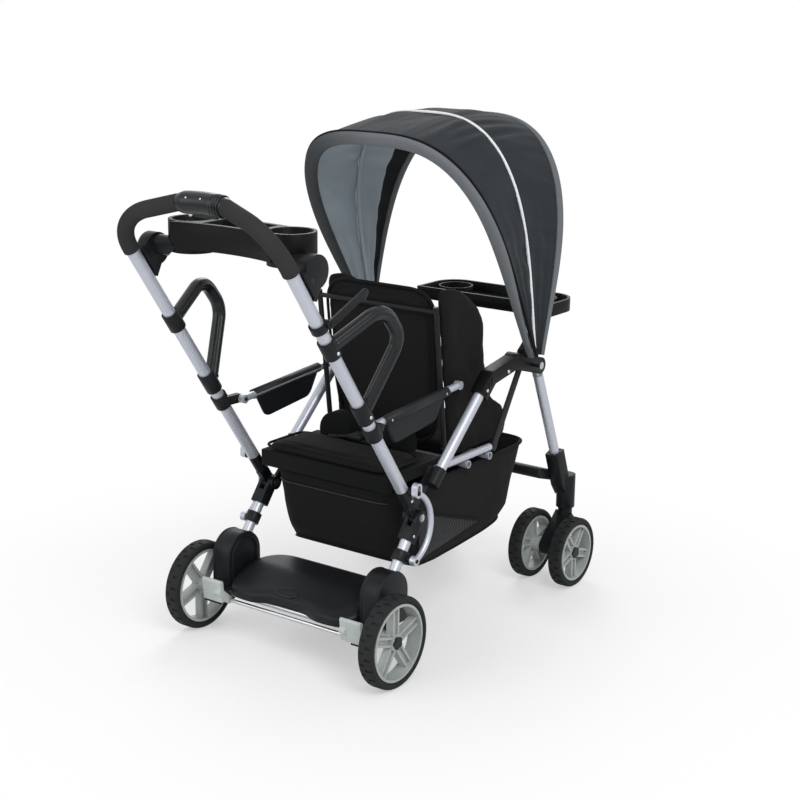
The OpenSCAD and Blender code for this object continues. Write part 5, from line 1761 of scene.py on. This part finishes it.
@dataclass
class FoldHousing:
    """The moulding at the middle of the push bar, with screws and a ribbed collar."""

    axis: Flat = (638.9, 932.2)
    left: float = 57.0
    right: float = -62.0
    radius: float = 20.5
    rise: float = 3.0
    rise_half: float = 60.0
    ribs: tuple[float, ...] = (-37.0, -43.0, -49.0)
    rib_share: float = 0.93
    rib_radius: float = 0.0018
    screws: tuple[float, ...] = (24.0, -10.0)
    screw_share: float = 1.03
    steps: int = 60

    def middle(self, x: float) -> Vector:
        """Return the point of the middle line at a distance across."""
        lift = self.rise * (1 - ((x - (self.left + self.right) / 2) / self.rise_half) ** 2)
        return at(x, self.axis[0] - lift, self.axis[1] + lift)

    @staticmethod
    def swell(t: float) -> float:
        """Return the section's share of its size, rounded off at both ends."""
        near = min(t, 1 - t)
        collar = 1 - 0.08 * smooth((t - 0.74) * 40)
        return (0.8 + 0.2 * smooth(near * 6)) * math.sqrt(1 - (1 - min(near * 22, 1)) ** 2 * 0.35) * collar

    def build(self) -> None:
        """Make the body, the collar's ribs and the two screws."""
        path = [self.middle(self.left + (self.right - self.left) * k / self.steps)
                for k in range(self.steps + 1)]
        body = sweep("fold_housing_body", path, oval(self.radius * MM, self.radius * MM, 40, 0.9), UP,
                     self.swell)
        carried(dress(body, Finishes.GLOSS), "push_handle", "black_moulding", "fold_housing")
        rings = [[self.middle(x) + Vector((0, math.cos(a), math.sin(a))) * self.radius * self.rib_share * MM
                  for a in circle(48)] for x in self.ribs]
        ribs = REPEATS.welt("fold_housing_ribs", rings, self.rib_radius, Finishes.GLOSS, True)
        carried(ribs, "push_handle", "black_moulding")
        way = Vector((0, 0.87, 0.5))
        spots = [(self.middle(x) + way * self.radius * self.screw_share * MM, way) for x in self.screws]
        heads = REPEATS.rivets("fold_housing_screws", spots, 0.002, 0.0012, Finishes.STEEL)
        carried(heads, "push_handle", "steel")


@dataclass
class ArmFlap:
    """A shield that wraps each arm link and hangs below it, held by two rivets."""

    x: float = 163.0
    out: float = 2.7
    front: float = 112.0
    rear: float = 322.0
    drop: float = 54.0
    taper: float = 34.0
    pivot: Flat = (354.0, 495.0)
    tip: Flat = (66.0, 517.0)
    wrap: float = 10.2
    thick: float = 4.2
    corner: float = 14.0
    lap: float = 4.0
    rivet_sink: float = 1.5

    def line(self, y: float) -> float:
        """Return the link's height at a distance behind the datum."""
        (rear, high), (front, tip_high) = self.pivot, self.tip
        return high + (tip_high - high) * (y - rear) / (front - rear)

    def build(self) -> None:
        """Make the wrap, the hanging shield and the rivets on both sides."""
        heart = ((self.front + self.rear) / 2, self.line(200) - 24)
        corners = [(self.front, self.line(self.front) + self.lap),
                   (self.rear, self.line(self.rear) + self.lap),
                   (self.rear - self.taper, self.line(self.rear) - self.drop),
                   (self.front + self.taper, self.line(self.front) - self.drop)]
        ring = evened(rounded(corners, self.corner, 6), 96)
        for side, name in SIDES:
            mid = side * (self.x + self.out)
            path = [at(mid, y, self.line(y)) for y in (self.front, heart[0], self.rear)]
            sleeve = sweep(f"arm_sleeve_{name}", path, oval(self.wrap * MM, self.wrap * MM, 24), ACROSS)
            carried(dress(sleeve, Finishes.SATIN), "arm_link_pair", "black_moulding")
            flap = cushion(f"arm_shield_{name}", ring,
                           lambda y, z, h, side=side: at(side * self.x + h, y, z), self.thick, heart,
                           edge=0.7)
            nodes = ("arm_flaps",) if side < 0 else ()
            carried(dress(flap, Finishes.BLACK), "arm_link_pair", "black_moulding", *nodes)
            spots = [(at(s * (self.wrap - self.rivet_sink) + mid, y, self.line(y)), Vector((s, 0, 0)))
                     for y in (self.front + 12, self.rear - 14) for s in (-1, 1)]
            heads = REPEATS.rivets(f"arm_sleeve_rivets_{name}", spots, 0.0036, 0.0018, Finishes.STEEL)
            carried(heads, "arm_link_pair", "steel")


@dataclass
class Platform:
    """The standing platform: a domed moulding whose top falls to a waved rear lip, and the fenders' rims.

    A fender's rim is given as its place across and its radius.
    """

    half: float = 165.0
    front: float = 264.0
    rear: float = 431.0
    corner: float = 62.0
    top: float = 152.0
    slope_from: float = 326.0
    slope_run: float = 106.0
    fall: float = 26.0
    end_fall: float = 4.0
    edge: float = 22.0
    edge_share: float = 0.6
    low: float = 101.0
    lip: float = 390.0
    lip_ease: float = 30.0
    wave: float = 12.0
    wave_half: float = 34.0
    wave_ease: float = 56.0
    wave_fade: float = 12.0
    arch: float = 6.0
    arch_half: float = 92.0
    insets: tuple[float, ...] = (0.0, 0.8, 2.4, 5.0, 9.0, 14.0, 20.0, 28.0, 38.0, 50.0, 62.0, 72.0, 79.0)
    oval_at: Flat = (8.0, 405.0)
    oval_half: Flat = (24.0, 13.0)
    oval_radius: float = 0.0011
    fender: Flat = (352.0, 161.0)
    fender_foot: float = 114.0
    rims: tuple[Flat, ...] = ((171.5, 46.5), (209.5, 46.5), (168.0, 37.0))
    rim_radius: float = 0.0026

    def near_lip(self, y: float) -> float:
        """Return 0 ahead of the rear lip, and 1 on it."""
        return smooth((y - self.lip) / self.lip_ease)

    def ring(self, inset: float) -> list[Flat]:
        """Draw the plan outline, hollowed in the middle of the rear.

        Args:
            inset: how far it is drawn in.

        Returns:
            The outline's points.
        """
        wide, front, rear = self.half - inset, self.front + inset, self.rear - inset
        corners = [(-wide, front), (wide, front), (wide, rear), (-wide, rear)]
        hollow = self.wave / (1 + inset / self.wave_fade)
        return [(x, y - hollow * self.near_lip(y) * (1 - smooth((abs(x) - self.wave_half) / self.wave_ease)))
                for x, y in evened(rounded(corners, self.corner, 10), 168)]

    def crown(self, x: float, y: float) -> float:
        """Return the top's height, which falls towards the rear and a little to the ends."""
        slope = self.fall * smooth((y - self.slope_from) / self.slope_run)
        return self.top - slope - self.end_fall * (x / self.half) ** 4

    def build(self) -> None:
        """Make the moulding, the bare oval on its lip and the fenders' rims."""
        rows = [[at(x, y, self.low + self.arch * self.near_lip(y) * (1 - smooth(abs(x) / self.arch_half)))
                 for x, y in self.ring(0.0)]]
        for inset in self.insets:
            rise = math.sqrt(1 - (1 - min(inset / self.edge, 1.0)) ** 2)
            drop = self.edge_share * self.edge * (1 - rise)
            rows.append([at(x, y, self.crown(x, y) - drop) for x, y in self.ring(inset)])
        count = len(rows[0])
        faces: list[Sequence[int]] = [range(count), range((len(rows) - 1) * count, len(rows) * count)]
        for j in range(len(rows) - 1):
            for k in range(count):
                a, b = j * count + k, j * count + (k + 1) % count
                faces.append((a, b, b + count, a + count))
        body = piece("platform_moulding", [p for row in rows for p in row], faces)
        carried(dress(body, Finishes.BLACK), "rear_frame", "black_moulding", "platform")
        spots = [(self.oval_at[0] + x, self.oval_at[1] + y) for x, y in oval(*self.oval_half, 48)]
        line = [at(x, y, self.crown(x, y) + 0.3) for x, y in spots]
        mark = REPEATS.welt("platform_oval", [line], self.oval_radius, Finishes.GLOSS, True)
        carried(mark, "rear_frame", "black_moulding")
        rims = [self.rim(side * x, radius) for side, _ in SIDES for x, radius in self.rims]
        carried(REPEATS.welt("fender_rims", rims, self.rim_radius, Finishes.BLACK), "rear_frame",
                "black_moulding")

    def rim(self, x: float, radius: float) -> list[Vector]:
        """Draw a fender's outline, from one foot over the top to the other.

        Args:
            x: its distance across.
            radius: the radius of its top.

        Returns:
            Its points in the frame.
        """
        y, z = self.fender
        arc = [at(x, y - radius * math.cos(math.pi * k / 24), z + radius * math.sin(math.pi * k / 24))
               for k in range(25)]
        return [at(x, y - radius, self.fender_foot), *arc, at(x, y + radius, self.fender_foot)]


@dataclass
class Hardware:
    """Rivets, screws and straps on the frame, with the outer faces of its members."""

    hub_face: float = 204.0
    tube: float = 190.0
    clamp_face: float = 206.4
    handle_face: float = 202.4
    side_face: float = 200.9
    plate_face: float = 203.0
    strap_at: float = 132.0
    strap_radius: float = 0.0124

    @staticmethod
    def both(x: float, spots: Iterable[Flat]) -> list[tuple[Vector, Vector]]:
        """Return heads that face outwards on both sides, at points seen from the side."""
        return [(at(side * x, y, z), Vector((side, 0, 0))) for side, _ in SIDES for y, z in spots]

    def build(self) -> None:
        """Make the rivet heads of each body, the tray's screws and the straps."""
        handle, side, leg = Frame2D.on_handle, Frame2D.on_side, Frame2D.on_leg
        rows = (
            ("hub_rivets", "seat_frame", self.hub_face, [side(312), (-60, 527)], 0.0044, 0.0022),
            ("clamp_rivets", "push_handle", self.clamp_face, [handle(296), handle(466)], 0.004, 0.0022),
            ("tube_rivets", "push_handle", self.handle_face, [handle(132), handle(205)], 0.003, 0.0012),
            ("plug_rivets", "push_handle", self.handle_face, [handle(52)], 0.004, 0.002),
            ("side_tube_rivets", "seat_frame", self.side_face, [side(150), side(236)], 0.0034, 0.0014),
            ("leg_rivets", "rear_frame", self.hub_face, [leg(40)], 0.0036, 0.0018),
        )
        for name, body, x, spots, radius, height in rows:
            heads = REPEATS.rivets(name, self.both(x, spots), radius, height, Finishes.STEEL)
            carried(heads, body, "steel")
        spots = self.both(self.plate_face, [handle(620, 24)])
        screws = REPEATS.rivets("tray_screws", spots, 0.0065, 0.0016, Finishes.SATIN)
        carried(screws, "push_handle", "black_moulding")
        self.leg_straps()

    def leg_straps(self) -> None:
        """Wrap a hook-and-loop strap round each rear leg, where the basket ties to it."""
        s, c = math.sin(Frame2D.leg_lean), math.cos(Frame2D.leg_lean)
        along, level = Vector((0, s, -c)), Vector((0, c, s))
        for side, name in SIDES:
            hub = at(side * self.tube, *Frame2D.on_leg(self.strap_at))
            ring = [hub + (ACROSS * math.cos(a) + level * math.sin(a)) * self.strap_radius
                    for a in circle(32)]
            band = sweep(f"leg_strap_{name}", ring, oval(0.011, 0.0011, 12, 0.5), along, closed=True)
            carried(dress(band, Finishes.WEBBING), "rear_frame", "black_cloth")


class CadFinishes:
    """Finishes for the CAD nodes that stay in view, some with softened edges, in metres."""

    looks: dict[Finishes, tuple[str, ...]] = {
        Finishes.TUBE: ("side_tubes", "seat_bars", "cross_tubes", "rear_legs", "front_legs", "handle_tubes",
                        "arm_links", "fold_links"),
        Finishes.STEEL: ("fold_pins", "rear_axle", "brake_rod", "stem_left", "stem_right", "spring_left",
                         "spring_right", "front_axle_left", "front_axle_right", "lock_button"),
        Finishes.INK: ("hubs", "parent_tray", "front_tray"),
        Finishes.BLACK: ("side_brackets", "seat_hangers", "leg_caps", "fenders", "platform", "leg_forks",
                         "front_crossbar", "yoke_left", "yoke_right", "tube_plugs", "fold_housing",
                         "tray_arms", "grab_clamps", "arm_brackets", "fold_trigger", "storage_latch",
                         "backrest_frame"),
        Finishes.DARK: ("bench_base",),
        Finishes.GREY: ("rear_rim_left", "rear_rim_right", "front_rims_left", "front_rims_right"),
        Finishes.PALE: ("brake_levers",),
        Finishes.RUBBER: ("rear_tyre_left", "rear_tyre_right", "front_tyres_left", "front_tyres_right"),
        Finishes.FOAM: ("handle_grips",),
    }
    softened: dict[str, float] = {
        "hubs": 0.003, "parent_tray": 0.0022, "tray_arms": 0.004, "fenders": 0.0035,
        "front_tray": 0.004, "bench_base": 0.004, "front_crossbar": 0.003, "leg_forks": 0.003,
        "yoke_left": 0.003, "yoke_right": 0.003, "brake_levers": 0.002, "storage_latch": 0.0015,
        "leg_caps": 0.0015, "seat_hangers": 0.001, "grab_clamps": 0.0015, "arm_brackets": 0.0015,
    }
    capped: tuple[str, ...] = ("rear_axle", "front_axle_left", "front_axle_right")
    cap_depth: float = 0.006
    weld: float = 0.00002
    flat_angle: float = math.radians(1.5)

    def soften(self, node: str, look: Finishes) -> None:
        """Stand a copy with rounded edges in for a node.

        Args:
            node: the CAD node.
            look: the copy's finish.
        """
        source = frame["nodes"][node]
        mesh = source.data.copy()
        with editing(mesh) as work:
            bmesh.ops.remove_doubles(work, verts=work.verts, dist=self.weld)
            bmesh.ops.dissolve_limit(work, angle_limit=self.flat_angle, verts=work.verts, edges=work.edges)
        mesh.name = f"{node}_soft"
        obj = linked(mesh.name, mesh)
        if "custom_normal" in mesh.attributes:
            mesh.attributes.remove(mesh.attributes["custom_normal"])
        mesh.materials.clear()
        bevelled(obj, self.softened[node])
        slot = "grey_moulding" if look in (Finishes.GREY, Finishes.PALE) else "black_moulding"
        carried(dress(obj, look), source["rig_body"], slot, node)

    def darken_ends(self, node: str) -> None:
        """Stand a grey-black copy in for an axle, its faces near the ends set to a second material index.

        Args:
            node: the CAD node.
        """
        source = frame["nodes"][node]
        obj = linked(f"{node}_capped", source.data.copy())
        across = [v.co.x for v in obj.data.vertices]
        ends = (min(across), max(across))
        for face in obj.data.polygons:
            face.material_index = int(min(abs(face.center.x - end) for end in ends) < self.cap_depth)
        carried(dress(obj, Finishes.SATIN), source["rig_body"], "steel", node)

    @staticmethod
    def springs() -> None:
        """Stand copies in for the springs, each with a mesh of its own."""
        for side in ("left", "right"):
            source = frame["nodes"][f"spring_{side}"]
            obj = linked(f"coil_{side}", source.data.copy())
            carried(obj, source["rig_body"], "steel", f"spring_{side}")
            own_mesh(obj)

    def build(self) -> None:
        """Dress every node."""
        for look, nodes in self.looks.items():
            for node in nodes:
                obj = frame["nodes"][node]
                obj.data.materials.clear()
                dress(obj, look)
                if node in self.softened:
                    self.soften(node, look)
                if node in self.capped:
                    self.darken_ends(node)
        self.springs()


@dataclass
class Studio:
    """A pale floor, soft lamps and the camera.

    The eye is in millimetres from the datum and the angles in degrees. A lamp is given as its
    name, its place, its size in metres and its power in watts.
    """

    eye: tuple[float, float, float] = (-1960.3, 2744.1, 1346.0)
    yaw: float = 215.968
    pitch: float = 14.965
    roll: float = 0.593
    lens: float = 73.66
    sensor: float = 36.0
    aim: tuple[float, float, float] = (0.0, 0.0, 0.5)
    lamps: tuple[tuple[str, tuple[float, float, float], float, float], ...] = (
        ("key_lamp", (-2.6, 1.6, 3.0), 2.2, 78.0),
        ("fill_lamp", (1.2, 3.2, 1.8), 2.6, 30.0),
        ("back_lamp", (1.8, -2.6, 2.6), 2.0, 40.0),
    )
    floor_half: float = 90.0

    def camera(self) -> None:
        """Set the camera as the photograph was taken."""
        a, e, r = (math.radians(v) for v in (self.yaw, self.pitch, self.roll))
        back = Vector((math.sin(a) * math.cos(e), -math.cos(a) * math.cos(e), math.sin(e)))
        right = UP.cross(back).normalized()
        up = back.cross(right)
        across, above = right * math.cos(r) + up * math.sin(r), up * math.cos(r) - right * math.sin(r)
        data = bpy.data.cameras.new("camera")
        data.sensor_width = self.sensor
        data.lens = self.lens
        data.clip_end = 200.0
        place = Matrix((across, above, back)).transposed().to_4x4()
        place.translation = at(*self.eye)
        obj = linked("camera", data)
        obj.matrix_world = place
        bpy.context.scene.camera = obj

    def lamp(self, name: str, place: tuple[float, float, float], size: float, power: float) -> None:
        """Hang a soft lamp that faces the object's middle.

        Args:
            name: the lamp's name.
            place: where it hangs, in metres in the frame.
            size: its diameter in metres.
            power: its power in watts.
        """
        data = bpy.data.lights.new(name, "AREA")
        data.shape = "DISK"
        data.size = size
        data.energy = power
        obj = linked(name, data)
        obj.location = place
        obj.rotation_euler = (Vector(self.aim) - Vector(place)).to_track_quat("-Z", "Y").to_euler()

    @staticmethod
    def world() -> None:
        """Light all round, and show white to the camera and in reflections."""
        s = Shader(bpy.data.worlds.new("studio"))
        bpy.context.scene.world = s.owner
        camera, glossy, through = (s.node("ShaderNodeLightPath", output=kind) for kind in (
            "Is Camera Ray", "Is Glossy Ray", "Is Transmission Ray"))
        shown = (camera + glossy + through).join("MINIMUM", 1.0)
        light = s.node("ShaderNodeBackground", {}, {"Color": WHITE, "Strength": shown * 0.42 + 0.58})
        s.node("ShaderNodeOutputWorld", {}, {"Surface": light})

    def floor(self) -> None:
        """Lay a pale floor that fades to white away from the object."""
        far = self.floor_half
        corners = [Vector((x, y, 0)) for x, y in ((-far, -far), (far, -far), (far, far), (-far, far))]
        obj = piece("studio_floor", corners, [(0, 1, 2, 3)], outward=False)
        s = Shader(bpy.data.materials.new("studio_floor"))
        place = s.coords()
        distance = s.node("ShaderNodeVectorMath", {"operation": "LENGTH"}, {0: place}, "Value")
        fade = s.node("ShaderNodeMapRange", {"interpolation_type": "SMOOTHSTEP"},
                      {"Value": distance, "From Min": 0.3, "From Max": 1.2, "To Min": 0.4})
        seen = s.node("ShaderNodeLightPath", output="Is Camera Ray")
        speck = s.noise(place, 60.0, 3.0)
        base = s.mix(speck, (0.86, 0.86, 0.86, 1), (0.9, 0.9, 0.9, 1))
        matt = s.node("ShaderNodeBsdfPrincipled", {}, {"Base Color": base, "Roughness": 0.8})
        white = s.node("ShaderNodeEmission", {}, {"Color": WHITE, "Strength": 1.0})
        mixed = s.node("ShaderNodeMixShader", {}, {0: fade * seen, 1: matt, 2: white})
        s.node("ShaderNodeOutputMaterial", {}, {"Surface": mixed})
        obj.data.materials.append(s.owner)

    def build(self) -> None:
        """Set up the studio."""
        bpy.context.scene.view_settings.view_transform = "Standard"
        self.world()
        self.floor()
        for lamp in self.lamps:
            self.lamp(*lamp)
        self.camera()


def main() -> None:
    """Build every sub-assembly in order and log each one."""
    logging.basicConfig(level=logging.INFO, format="%(name)s: %(message)s")
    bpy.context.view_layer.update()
    for part in (Studio(), CadFinishes(), Canopy(), Backrest(), FrontSeat(), Bench(), Basket(), GrabHandle(),
                 FoldHousing(), ArmFlap(), Platform(), Hardware()):
        part.build()
        LOG.info("%s built", type(part).__name__)


if __name__ == "__main__":
    main()
